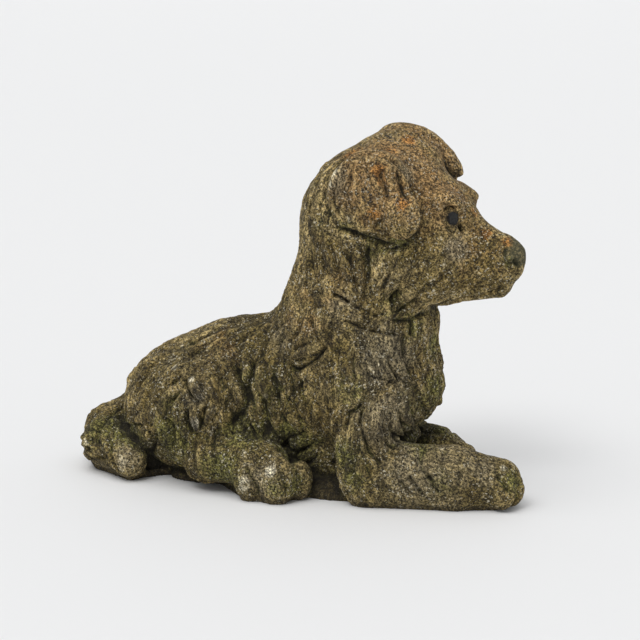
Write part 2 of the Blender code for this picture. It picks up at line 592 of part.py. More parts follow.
def coat_at(points):
    """How the coat lies at each point: direction, length and relief of a lock, and outward."""
    side = np.where(points[:, 1:2] > 0.0, -1.0, 1.0)
    folded = points * np.hstack([np.ones_like(side), side, np.ones_like(side)])
    direction = np.zeros_like(points)
    length = np.zeros(len(points))
    relief = np.zeros(len(points))
    total = np.zeros(len(points))
    for place, way, long, share in COAT:
        weight = np.exp(-((folded - np.array(place)) ** 2).sum(axis=1) / COAT_REACH ** 2) + 1e-12
        direction += weight[:, None] * (np.array(way) / np.linalg.norm(way))
        length += weight * long
        relief += weight * share
        total += weight
    direction[:, 1:2] *= side
    out = facing(points)
    direction -= (direction * out).sum(axis=1)[:, None] * out
    direction /= np.maximum(np.linalg.norm(direction, axis=1), 1e-6)[:, None]
    return direction, length / total, relief / total, out


def coat_locks(points, randomness):
    """Paths of the locks that cover the coat, with their half widths and shares of relief."""
    spots = points[randomness.permutation(len(points))[:LOCK_TRIES]]
    length, relief = coat_at(spots)[1:3]
    chosen = []
    for i in np.nonzero((length > SHORTEST_LOCK) & (spots[:, 2] > LOWEST_LOCK))[0]:
        apart = ((spots[chosen] - spots[i]) ** 2).sum(axis=1)
        if not chosen or apart.min() > (length[i] * LOCK_SPACING) ** 2:
            chosen.append(i)
    length = length[chosen] * randomness.uniform(0.75, 1.25, len(chosen))
    phase = randomness.uniform(0.0, 2.0 * math.pi, len(chosen))
    path = [spots[chosen]]
    for step in range(LOCK_STEPS - 1):
        way, _, _, out = coat_at(path[-1])
        swing = math.radians(LOCK_WAVE) * np.sin(phase + step * LOCK_WAVE_STEP)
        way = way * np.cos(swing)[:, None] + np.cross(out, way) * np.sin(swing)[:, None]
        path.append(settle(path[-1] + way * (length / (LOCK_STEPS - 1))[:, None], 1))
    half = length * LOCK_WIDTH * randomness.uniform(0.75, 1.2, len(chosen))
    return np.stack(path, axis=1), half, relief[chosen]


def drawn_paths():
    """Every drawn stroke thrown onto the form: its kind, half width, share, sides and path."""
    places = thrown([spot for stroke in STROKES for spot in stroke[4]])
    start = 0
    for kind, width, share, both, drawn in STROKES:
        path = resampled(places[start:start + len(drawn)], STROKE_STEPS)
        start += len(drawn)
        yield kind, width, share, path
        if both:
            yield kind, width, share, mirrored(path)


def carve(points, edges, roots):
    """Carve the coat, whose locks grow from some of the roots, and the drawn strokes into the form."""
    carving = Carving(points, edges)
    randomness = np.random.default_rng(LOCK_SEED)
    paths, widths, reliefs = coat_locks(roots, randomness)
    for i in np.argsort(paths[:, 0, 2]):
        carving.lock(paths[i], widths[i], LOCK_RELIEF / UNIT * reliefs[i] * randomness.uniform(0.6, 1.15))
    for kind, half_width, share, path in drawn_paths():
        if kind == "lock":
            carving.lock(path, half_width, LOCK_RELIEF / UNIT * share)
        else:
            carving.groove(path, half_width, GROOVE_DEPTH / UNIT * share)
    carving.soften(SOFTENING)
    carving.height -= CARVING_SINK
    return carving.relief()


def thin_out(statue):
    """Bring the mesh down to its finished number of triangles, with the underside dead flat."""
    modifier = statue.modifiers.new("Fewer faces", "DECIMATE")
    modifier.ratio = TRIANGLES / (2.0 * len(statue.data.polygons))
    modifier.use_collapse_triangulate = True
    apply_modifiers(statue)
    points = read_points(statue.data)
    points[points[:, 2] < FLAT_BELOW, 2] = 0.0
    write_points(statue.data, points)


def place(statue):
    """Scale the grid to metres, with the middle of the underside's box at the origin."""
    points = read_points(statue.data) * UNIT
    middle = 0.5 * (points.min(axis=0) + points.max(axis=0))
    write_points(statue.data, points - np.array((middle[0], middle[1], points[:, 2].min())))


def stone():
    """Weathered cast stone, grey-brown with a green cast."""
    material = bpy.data.materials.new("weathered cast stone")
    material.use_nodes = True
    shader = material.node_tree.nodes["Principled BSDF"]
    shader.inputs["Base Color"].default_value = STONE_COLOUR
    shader.inputs["Roughness"].default_value = STONE_ROUGHNESS
    shader.inputs["Metallic"].default_value = 0.0
    return material


def build():
    """Make the statue in a collection of its own."""
    for old in list(bpy.data.objects):
        bpy.data.objects.remove(old, do_unlink=True)
    home = bpy.data.collections.new("stone_terrier")
    bpy.context.scene.collection.children.link(home)
    mesh = bpy.data.meshes.new("terrier")
    seed_spheres(mesh)
    statue = bpy.data.objects.new("terrier", mesh)
    home.objects.link(statue)
    remesh(statue, ROUGH_VOXEL)
    roots = settle(read_points(statue.data))
    write_points(statue.data, roots)
    remesh(statue, FINE_VOXEL)
    edges = np.array([edge.vertices[:] for edge in statue.data.edges])
    write_points(statue.data, carve(settle(read_points(statue.data)), edges, roots))
    thin_out(statue)
    place(statue)
    statue.data.materials.append(stone())
    statue.data.shade_smooth()
    return statue


STATUE = build()
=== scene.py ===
"""Weathered stone terrier, lying with its head up on its own low base.

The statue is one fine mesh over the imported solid. Its form, its coat and its growths are laid
out on the solid's grid, and the strokes of the carver on a drawing of the right side. The
stone's finish is worked out from fields that the mesh carries at its vertices.
"""

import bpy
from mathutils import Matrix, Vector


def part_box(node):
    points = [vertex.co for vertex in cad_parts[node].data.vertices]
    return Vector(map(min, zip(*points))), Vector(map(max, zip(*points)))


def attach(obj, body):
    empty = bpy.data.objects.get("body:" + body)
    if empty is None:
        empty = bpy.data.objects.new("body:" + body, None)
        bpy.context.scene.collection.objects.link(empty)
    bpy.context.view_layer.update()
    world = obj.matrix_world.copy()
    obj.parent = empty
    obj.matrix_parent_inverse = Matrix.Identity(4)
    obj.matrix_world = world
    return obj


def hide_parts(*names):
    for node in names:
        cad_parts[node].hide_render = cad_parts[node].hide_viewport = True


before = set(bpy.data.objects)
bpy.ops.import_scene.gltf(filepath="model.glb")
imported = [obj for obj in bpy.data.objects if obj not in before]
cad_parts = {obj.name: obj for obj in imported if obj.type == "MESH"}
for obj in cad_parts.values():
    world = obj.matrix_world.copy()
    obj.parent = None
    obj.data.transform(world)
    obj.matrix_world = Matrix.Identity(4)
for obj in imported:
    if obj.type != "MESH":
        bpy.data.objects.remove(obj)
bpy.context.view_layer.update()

import logging
import math
from dataclasses import dataclass, field
from enum import Enum
from itertools import product
from typing import Iterator

import bmesh
import bpy
import numpy as np
from mathutils import Euler, Matrix, Vector

log = logging.getLogger("stone_terrier")

Triple = tuple[float, float, float]
Spot = tuple[float, float]
Colour = tuple[float, float, float, float]
Array = np.ndarray
Socket = bpy.types.NodeSocket

# The statue is laid out on the grid of its solid: x forward, y to the dog's left, z up
LENGTH = 0.42
GRID_LENGTH = 483.0
UNIT = LENGTH / GRID_LENGTH


class StrokeKind(Enum):
    """What the carver's tool leaves behind."""

    LOCK = "lock"
    CUT = "cut"


class Growth(Enum):
    """What time has put on the stone."""

    MOSS = "moss"
    RUST = "rust"
    PALE = "pale"
    SOOT = "soot"
    UMBER = "umber"
    ASH = "ash"
    DIRT = "dirt"


@dataclass(frozen=True)
class Mass:
    """An ellipsoid of the figure.

    Args:
        centre: Place of its middle, in grid units.
        radii: Half sizes along its own axes.
        turn: Turn about x, y and z, in degrees.
        fillet: Reach of the fillet to what was there before.
    """

    centre: Triple
    radii: Triple
    turn: Triple = (0.0, 0.0, 0.0)
    fillet: float = 0.0


@dataclass(frozen=True)
class Bar:
    """A round bar of the figure whose radius runs from one end to the other.

    Args:
        start: Place of its first end, in grid units.
        end: Place of its second end.
        first: Radius at the first end.
        second: Radius at the second end.
        side: Sideways scale of its section.
        fillet: Reach of the fillet to what was there before.
    """

    start: Triple
    end: Triple
    first: float
    second: float
    side: float = 1.0
    fillet: float = 0.0


@dataclass(frozen=True)
class Stroke:
    """One stroke of the carver, drawn on the view of the right side.

    Args:
        kind: Raised lock or sunk cut.
        width: Half width in grid units.
        share: Height or depth as a share of the usual one.
        points: Places on the drawing, in its columns and rows.
        both: Whether the left side has it too.
    """

    kind: StrokeKind
    width: float
    share: float
    points: tuple[Spot, ...]
    both: bool = True


@dataclass(frozen=True)
class Patch:
    """One patch of growth, placed on the drawing.

    Args:
        growth: What grows there.
        place: Middle of the patch in the drawing's columns and rows.
        radius: Reach of the patch in grid units.
        strength: How thick it grows, from 0 to 1.
    """

    growth: Growth
    place: Spot
    radius: float
    strength: float = 1.0


@dataclass(frozen=True)
class Ramp:
    """Smooth step from one result to another between two readings.

    Args:
        low: Reading that gives the first result.
        high: Reading that gives the last result.
        first: Result at the low end.
        last: Result at the high end.
    """

    low: float
    high: float
    first: float = 0.0
    last: float = 1.0

    def of(self, values: Array) -> Array:
        """The result at each reading."""
        return self.first + (self.last - self.first) * smooth(self.low, self.high, values)


@dataclass(frozen=True)
class Cloud:
    """Size and character of a cloudy noise.

    Args:
        size: Size of its clouds in metres.
        detail: Octaves.
        rough: Weight of the finer octaves.
        warp: How far it is pulled out of shape.
    """

    size: float
    detail: float = 3.0
    rough: float = 0.55
    warp: float = 0.0


def lock(width: float, share: float, *points: Spot, both: bool = True) -> Stroke:
    """A raised lock of hair."""
    return Stroke(StrokeKind.LOCK, width, share, points, both)


def cut(width: float, share: float, *points: Spot, both: bool = True) -> Stroke:
    """A sunk cut between locks."""
    return Stroke(StrokeKind.CUT, width, share, points, both)


def grown(growth: Growth, *spots: tuple[float, float, float, float]) -> tuple[Patch, ...]:
    """Patches of one growth, each given by its column, row, reach and strength."""
    return tuple(Patch(growth, (column, row), reach, strength) for column, row, reach, strength in spots)


def smooth(low: float, high: float, value: Array) -> Array:
    """Ramp from 0 to 1 between two limits, with soft ends."""
    t = np.clip((value - low) / (high - low), 0.0, 1.0)
    return t * t * (3.0 - 2.0 * t)


def resampled(path: Array, count: int) -> Array:
    """The path again with evenly spread points on smooth bends.

    Args:
        path: Places along the path.
        count: Number of places in the new path.

    Returns:
        The new places, on a Catmull-Rom curve through the old ones.
    """
    marks = np.linspace(0.0, len(path) - 1.0, count)
    ends = np.vstack([2 * path[0] - path[1], path, 2 * path[-1] - path[-2]])
    index = np.minimum(marks.astype(int), len(path) - 2)
    t = (marks - index)[:, None]
    a, b, c, d = (ends[index + k] for k in range(4))
    return 0.5 * (2 * b + (c - a) * t + (2 * a - 5 * b + 4 * c - d) * t ** 2
                  + (3 * b - a - 3 * c + d) * t ** 3)


@dataclass
class Grain:
    """Repeatable random fields in space, for weathering and for the edges of growth.

    Args:
        seed: Seed of the table that every field reads.
        size: Number of entries in the table, a power of two.
        primes: Factors that mix a cell's three numbers and the salt.
    """

    seed: int = 7
    size: int = 4096
    primes: tuple[int, ...] = (73856093, 19349663, 83492791, 2654435)
    table: Array = field(init=False)

    def __post_init__(self) -> None:
        """Fill the table."""
        self.table = np.random.default_rng(self.seed).random(self.size).astype(np.float32)

    def at(self, cells: Array, salt: int) -> Array:
        """Random number for each cell of a lattice.

        Args:
            cells: Whole-numbered cells, one to a row.
            salt: Number that makes this field unlike the others.

        Returns:
            Numbers from 0 to 1.
        """
        a, b, c, d = self.primes
        mixed = cells[:, 0] * a ^ cells[:, 1] * b ^ cells[:, 2] * c ^ salt * d
        return self.table[(mixed ^ mixed >> 13) & (self.size - 1)]

    def waves(self, points: Array, wavelength: float, salt: int) -> Array:
        """Smooth random field.

        Args:
            points: Places to read it at.
            wavelength: Distance over which it changes.
            salt: Number that makes this field unlike the others.

        Returns:
            Values from -1 to 1.
        """
        cells = points / wavelength + salt * 0.37
        base = np.floor(cells).astype(np.int64)
        t = (cells - base).astype(np.float32)
        t = t * t * (3.0 - 2.0 * t)
        total = np.zeros(len(points), dtype=np.float32)
        for corner in product((0, 1), repeat=3):
            weight = np.prod(np.where(np.array(corner), t, 1.0 - t), axis=1)
            total += weight * self.at(base + np.array(corner), salt)
        return total * 2.0 - 1.0

    def pits(self, points: Array, spacing: float, salt: int) -> Array:
        """Distance to the nearest of many scattered places.

        Args:
            points: Places to read it at.
            spacing: Distance between the scattered places.
            salt: Number that makes this field unlike the others.

        Returns:
            Distances in shares of the spacing.
        """
        cells = points / spacing
        base = np.floor(cells).astype(np.int64)
        nearest = np.full(len(points), 9.0, dtype=np.float32)
        for corner in product((-1, 0, 1), repeat=3):
            cell = base + np.array(corner)
            apart = np.zeros(len(points), dtype=np.float32)
            for axis in range(3):
                apart += (cell[:, axis] + self.at(cell, salt + axis) - cells[:, axis]) ** 2
            nearest = np.minimum(nearest, apart)
        return np.sqrt(nearest)


@dataclass
class Figure:
    """Form of the lying terrier before its coat is carved, as one distance field.

    Args:
        body: Barrel, chest, belly and haunches.
        neck: Neck, down to the shoulders.
        head: Skull, cheeks, jaws and brows.
        muzzle: Upper and lower jaw.
        limbs: Forelegs and hind feet.
        tail_points: Middle line of the tail, from root to tip.
        tail_radii: Its radius at each of those places.
        tail_fillet: Reach of the fillet from the tail to the body.
        toes: Toes of all four feet.
        ears: The two folded ears.
        nose: Tip of the nose.
        eyes: Right and left eyeball.
        balls: Balls that stand for each bar when the first skin is made.
        base_outline: Corners of the low base, seen from above.
        base_height: Thickness of the base.
        base_fillet: Reach of the fillet from the base to the dog.
        base_rises: Mounds of the base between the legs and under the haunch.
    """

    body: tuple[Mass, ...] = (
        Mass((-143, 2, 70), (68, 67, 67)),
        Mass((-64, 0, 93), (97, 64, 76), (0, 5, 0), 26),
        Mass((38, 0, 118), (66, 66, 74), fillet=30),
        Mass((78, 0, 114), (42, 54, 74), fillet=20),
        Mass((101, 0, 113), (25, 36, 30), fillet=14),
        Mass((97, 0, 178), (22, 32, 26), fillet=10),
        Mass((0, 0, 40), (96, 42, 46), fillet=12),
        Mass((-118, -42, 77), (56, 40, 57), fillet=10),
        Mass((-118, 42, 77), (56, 38, 57), fillet=10),
        Mass((-49, -63, 36), (39, 27, 24), fillet=8),
    )
    neck: tuple[Bar, ...] = (
        Bar((34, 0, 172), (42, 0, 250), 75, 57, 0.86, 32),
    )
    head: tuple[Mass, ...] = (
        Mass((67, 0, 293), (68, 56, 60), fillet=14),
        Mass((36, 0, 270), (53, 52, 66), fillet=12),
        Mass((74, 20, 326), (46, 30, 36), fillet=12),
        Mass((112, 0, 270), (50, 43, 52), fillet=16),
        Mass((108, -22, 236), (46, 27, 38), (0, 12, 0), 14),
        Mass((108, 22, 236), (46, 27, 38), (0, 12, 0), 14),
        Mass((138, -24, 300), (18, 13, 11), (0, 24, 0), 9),
        Mass((138, 24, 300), (18, 13, 11), (0, 24, 0), 9),
    )
    muzzle: tuple[Bar, ...] = (
        Bar((140, 0, 248), (184, 0, 242), 45, 27, 0.72, 14),
        Bar((130, 0, 222), (184, 0, 217), 28, 13, 0.86, 7),
    )
    limbs: tuple[Bar, ...] = (
        Bar((58, -44, 118), (64, -50, 30), 34, 26, 1.0, 12),
        Bar((72, -48, 33), (150, -32, 32), 30, 28, 1.0, 8),
        Bar((150, -32, 32), (193, -22, 27), 28, 23, 1.0, 6),
        Bar((68, -54, 13), (152, -38, 13), 19, 17, 1.0, 10),
        Bar((152, -38, 13), (190, -26, 12), 17, 14, 1.0, 8),
        Bar((58, 44, 118), (64, 50, 30), 34, 26, 1.0, 12),
        Bar((72, 50, 36), (110, 46, 33), 28, 24, 1.0, 8),
        Bar((110, 46, 33), (134, 40, 27), 24, 20, 1.0, 6),
        Bar((-98, -58, 34), (-50, -58, 34), 26, 25, 1.0, 8),
        Bar((-98, 60, 30), (-50, 64, 28), 24, 21, 1.0, 8),
    )
    tail_points: tuple[Triple, ...] = (
        (-184, 12, 72), (-214, 18, 49), (-238, 8, 34), (-226, -26, 29), (-187, -53, 21),
    )
    tail_radii: tuple[float, ...] = (25, 23, 25, 24, 19)
    tail_fillet: float = 6
    toes: tuple[Mass, ...] = (
        Mass((-44, -79, 21), (17, 17, 24), fillet=10),
        Mass((-17, -80, 22), (20, 17, 26), fillet=7),
        Mass((2, -62, 20), (12, 15, 20), fillet=8),
        Mass((-45, 74, 17), (13, 14, 17), fillet=3),
        Mass((-21, 78, 17), (13, 14, 17), fillet=3),
        Mass((-9, 60, 17), (12, 13, 16), fillet=3),
        Mass((201, -37, 19), (14, 9, 17), fillet=3),
        Mass((206, -22, 20), (14, 9, 18), fillet=3),
        Mass((201, -8, 19), (13, 9, 16), fillet=3),
        Mass((143, 27, 18), (13, 9, 16), fillet=3),
        Mass((147, 41, 18), (13, 9, 17), fillet=3),
        Mass((141, 55, 17), (12, 8, 16), fillet=3),
    )
    ears: tuple[Mass, ...] = (
        Mass((70, -42, 332), (30, 15, 18), fillet=12),
        Mass((70, -57, 309), (42, 11, 38), (6, -10, 0), 4),
        Mass((104, -59, 290), (19, 10, 24), (5, 10, 0), 4),
        Mass((82, 38, 345), (36, 20, 21), (0, 12, 0), 9),
        Mass((106, 43, 333), (28, 12, 17), (-8, 34, 0), 5),
        Mass((123, 42, 324), (14, 9, 8), (0, 36, 0), 5),
        Mass((88, 57, 320), (38, 10, 33), (-6, 14, 0), 4),
    )
    nose: Mass = Mass((200, 0, 249), (10, 12, 10), fillet=4)
    eyes: tuple[Mass, ...] = (
        Mass((149, -34, 285), (7.29, 7.29, 7.29), fillet=1.5),
        Mass((149, 34, 285), (7.29, 7.29, 7.29), fillet=1.5),
    )
    balls: int = 6
    base_outline: tuple[Spot, ...] = (
        (-262, 6), (-238, -30), (-184, -58), (-162, -30), (-135, -16), (-116, -18), (-83, -50),
        (-52, -82), (-17, -88), (2, -62), (4, -42), (36, -47), (66, -54), (102, -58), (128, -48),
        (150, -38), (184, -26), (198, -10), (192, 24), (164, 56), (110, 74), (20, 74), (-40, 84),
        (-120, 76), (-210, 54), (-254, 34),
    )
    base_height: float = 0.0070 / UNIT
    base_fillet: float = 4
    base_rises: tuple[Mass, ...] = (
        Mass((26, -38, 3), (46, 19, 14), fillet=4),
        Mass((-118, -26, 3), (34, 16, 11), fillet=4),
    )

    def masses(self) -> tuple[Mass, ...]:
        """Every ellipsoid that the remesher starts from."""
        return self.body + self.head + self.toes + self.ears + (self.nose,) + self.base_rises

    def tail(self) -> tuple[Bar, ...]:
        """Lay out the tail.

        Returns:
            Tapered bars, end to end.
        """
        points, radii = self.tail_points, self.tail_radii
        return tuple(
            Bar(points[i], points[i + 1], radii[i], radii[i + 1], fillet=self.tail_fillet)
            for i in range(len(points) - 1)
        )

    @staticmethod
    def axes(mass: Mass) -> Array:
        """Axes of a turned mass, as rows of a matrix."""
        turn = Euler([math.radians(a) for a in mass.turn], "XYZ")
        return np.array(turn.to_matrix(), dtype=np.float32)

    def ellipsoid(self, x: Array, y: Array, z: Array, mass: Mass) -> Array:
        """Distance to a turned ellipsoid, close to true near its surface.

        Args:
            x: First coordinate of each place.
            y: Second coordinate of each place.
            z: Third coordinate of each place.
            mass: The ellipsoid.

        Returns:
            Distances, below zero inside.
        """
        x, y, z = x - mass.centre[0], y - mass.centre[1], z - mass.centre[2]
        if any(mass.turn):
            axes = self.axes(mass)
            x, y, z = (axes[0, i] * x + axes[1, i] * y + axes[2, i] * z for i in range(3))
        u, v, w = x / mass.radii[0], y / mass.radii[1], z / mass.radii[2]
        first = np.sqrt(u * u + v * v + w * w)
        u, v, w = u / mass.radii[0], v / mass.radii[1], w / mass.radii[2]
        second = np.sqrt(u * u + v * v + w * w)
        return first * (first - 1.0) / np.maximum(second, 1e-5)

    @staticmethod
    def bar(x: Array, y: Array, z: Array, bar: Bar) -> Array:
        """Distance to a tapered bar.

        Args:
            x: First coordinate of each place.
            y: Second coordinate of each place.
            z: Third coordinate of each place.
            bar: The bar.

        Returns:
            Distances, below zero inside.
        """
        dx, dy, dz = (b - a for a, b in zip(bar.start, bar.end))
        dy /= bar.side
        x, y, z = x - bar.start[0], (y - bar.start[1]) / bar.side, z - bar.start[2]
        along = np.clip((x * dx + y * dy + z * dz) / (dx * dx + dy * dy + dz * dz), 0.0, 1.0)
        reach = np.sqrt((x - along * dx) ** 2 + (y - along * dy) ** 2 + (z - along * dz) ** 2)
        return (reach - bar.first - (bar.second - bar.first) * along) * (0.3 + 0.7 * bar.side)

    @staticmethod
    def joined(first: Array, second: Array, reach: float) -> Array:
        """Union of two fields with a fillet.

        Args:
            first: The first field.
            second: The second field.
            reach: Reach of the fillet.

        Returns:
            The joined field.
        """
        lower = np.minimum(first, second)
        if reach <= 0:
            return lower
        gap = np.maximum(1.0 - np.abs(first - second) / reach, 0.0)
        return lower - gap * gap * (reach * 0.25)

    def base(self, x: Array, y: Array, z: Array) -> Array:
        """Distance to the low base, a plate with an irregular outline.

        Args:
            x: First coordinate of each place.
            y: Second coordinate of each place.
            z: Third coordinate of each place.

        Returns:
            Distances, below zero inside.
        """
        nearest = np.full(x.shape, 1e6, dtype=np.float32)
        inside = np.zeros(x.shape, dtype=bool)
        for i, (ax, ay) in enumerate(self.base_outline):
            bx, by = self.base_outline[(i + 1) % len(self.base_outline)]
            ex, ey = bx - ax, by - ay
            lx, ly = x - ax, y - ay
            along = np.clip((lx * ex + ly * ey) / (ex * ex + ey * ey), 0.0, 1.0)
            nearest = np.minimum(nearest, (lx - along * ex) ** 2 + (ly - along * ey) ** 2)
            if ay != by:
                inside ^= ((ay > y) != (by > y)) & (x < ax + ex * ly / ey)
        sideways = np.sqrt(nearest) * np.where(inside, -1.0, 1.0)
        height = np.abs(z) - self.base_height
        outside = np.sqrt(np.maximum(sideways, 0.0) ** 2 + np.maximum(height, 0.0) ** 2)
        return outside + np.minimum(np.maximum(sideways, height), 0.0)

    def distance(self, points: Array, based: bool = True) -> Array:
        """Distance to the figure.

        Args:
            points: Places in grid units.
            based: Whether the low base counts.

        Returns:
            Distances, below zero inside.
        """
        x, y, z = (np.ascontiguousarray(points[:, i], dtype=np.float32) for i in range(3))
        level = np.full(x.shape, 1e3, dtype=np.float32)
        order = self.body + self.neck + self.head + self.muzzle + self.limbs + self.tail()
        for shape in order + self.toes + self.ears + (self.nose,) + self.eyes:
            measure = self.ellipsoid if isinstance(shape, Mass) else self.bar
            level = self.joined(level, measure(x, y, z, shape), shape.fillet)
        if based:
            level = self.joined(level, self.base(x, y, z), self.base_fillet)
            for rise in self.base_rises:
                level = self.joined(level, self.ellipsoid(x, y, z, rise), rise.fillet)
        return np.maximum(level, -z)

    def slope(self, points: Array, level: Array, step: float = 0.5) -> Array:
        """Gradient of the field at each place, where its value is already known."""
        moves = np.eye(3) * step
        return np.stack([(self.distance(points + move) - level) / step for move in moves], axis=1)

    def settle(self, points: Array, rounds: int = 2) -> Array:
        """Move each place along the slope until it lies on the form.

        Args:
            points: Places near the form.
            rounds: How often they are moved.

        Returns:
            The settled places.
        """
        for _ in range(rounds):
            level = self.distance(points)
            rise = self.slope(points, level)
            square = np.maximum((rise ** 2).sum(axis=1), 0.3)
            points = points - (level / square)[:, None] * rise
        return points

    def facing(self, points: Array) -> Array:
        """Outward direction of the form at each place."""
        rise = self.slope(points, self.distance(points))
        return rise / np.maximum(np.linalg.norm(rise, axis=1), 1e-6)[:, None]

    def draft(self, mesh: bpy.types.Mesh) -> None:
        """Fill a mesh with balls along every mass and bar, for the remesher to join.

        Args:
            mesh: The empty mesh to fill.
        """
        balls = [(m.centre, m.radii, self.axes(m)) for m in self.masses()]
        for bar in self.neck + self.muzzle + self.limbs + self.tail():
            for share in np.linspace(0.0, 1.0, self.balls):
                radius = bar.first + (bar.second - bar.first) * share
                place = tuple(a + (b - a) * share for a, b in zip(bar.start, bar.end))
                balls.append((place, (radius, radius * bar.side, radius), np.eye(3)))
        ball = bpy.data.meshes.new("ball")
        first = bmesh.new()
        bmesh.ops.create_uvsphere(first, u_segments=28, v_segments=14, radius=1.0)
        first.to_mesh(ball)
        first.free()
        builder = bmesh.new()
        for centre, radii, axes in balls:
            piece = ball.copy()
            turn = Matrix(axes.tolist()).to_4x4()
            piece.transform(Matrix.Translation(Vector(centre)) @ turn @ Matrix.Diagonal((*radii, 1.0)))
            builder.from_mesh(piece)
            bpy.data.meshes.remove(piece)
        bpy.data.meshes.remove(ball)
        floor = builder.faces.new([builder.verts.new((x, y, 0.0)) for x, y in self.base_outline])
        raised = bmesh.ops.extrude_face_region(builder, geom=[floor])
        lift = [v for v in raised["geom"] if isinstance(v, bmesh.types.BMVert)]
        bmesh.ops.translate(builder, verts=lift, vec=(0, 0, self.base_height))
        bmesh.ops.recalc_face_normals(builder, faces=builder.faces)
        builder.to_mesh(mesh)
        builder.free()


@dataclass
class Drawing:
    """The carver's drawing of the right side, and where its columns and rows meet the form.

    Args:
        figure: The form that the drawing shows.
        turn: Degrees that its eye stands round from the dog's right side.
        drop: Degrees that it looks down.
        reach: Distance of its eye, in grid units.
        middle: Column and row of its middle.
        target: Place that its middle points at.
        steps: Steps of a ray on its way to the form.
        skip: Part of the reach that a ray starts short by.
        care: Share of the distance to the form that a ray goes in one step.
    """

    figure: Figure
    turn: float = 20.0
    drop: float = 12.0
    reach: float = 2400.0
    middle: Spot = (320.0, 320.0)
    target: Triple = (0.0, 0.0, 169.0)
    steps: int = 60
    skip: float = 483.0
    care: float = 0.9

    def look(self) -> Array:
        """Direction that the eye looks in."""
        turn, drop = math.radians(self.turn), math.radians(self.drop)
        return np.array((-math.sin(turn) * math.cos(drop), math.cos(turn) * math.cos(drop),
                         -math.sin(drop)))

    def thrown(self, drawn: list[Spot]) -> Array:
        """Places on the form under points of the drawing.

        Args:
            drawn: Columns and rows.

        Returns:
            One place in grid units for each.
        """
        look = self.look()
        right = np.array((math.cos(math.radians(self.turn)), math.sin(math.radians(self.turn)), 0.0))
        up = np.cross(right, look)
        eye = np.array(self.target) - look * self.reach
        offset = np.array(drawn, dtype=float) - np.array(self.middle)
        rays = look * self.reach + offset[:, :1] * right - offset[:, 1:] * up
        rays /= np.linalg.norm(rays, axis=1)[:, None]
        gone = np.full(len(rays), self.reach - self.skip)
        for _ in range(self.steps):
            gone = gone + self.figure.distance(eye + rays * gone[:, None]) * self.care
        return self.figure.settle(eye + rays * gone[:, None])

    def mirrored(self, path: Array) -> Array:
        """The same places on the left side."""
        return self.figure.settle(path * np.array((1.0, -1.0, 1.0)))


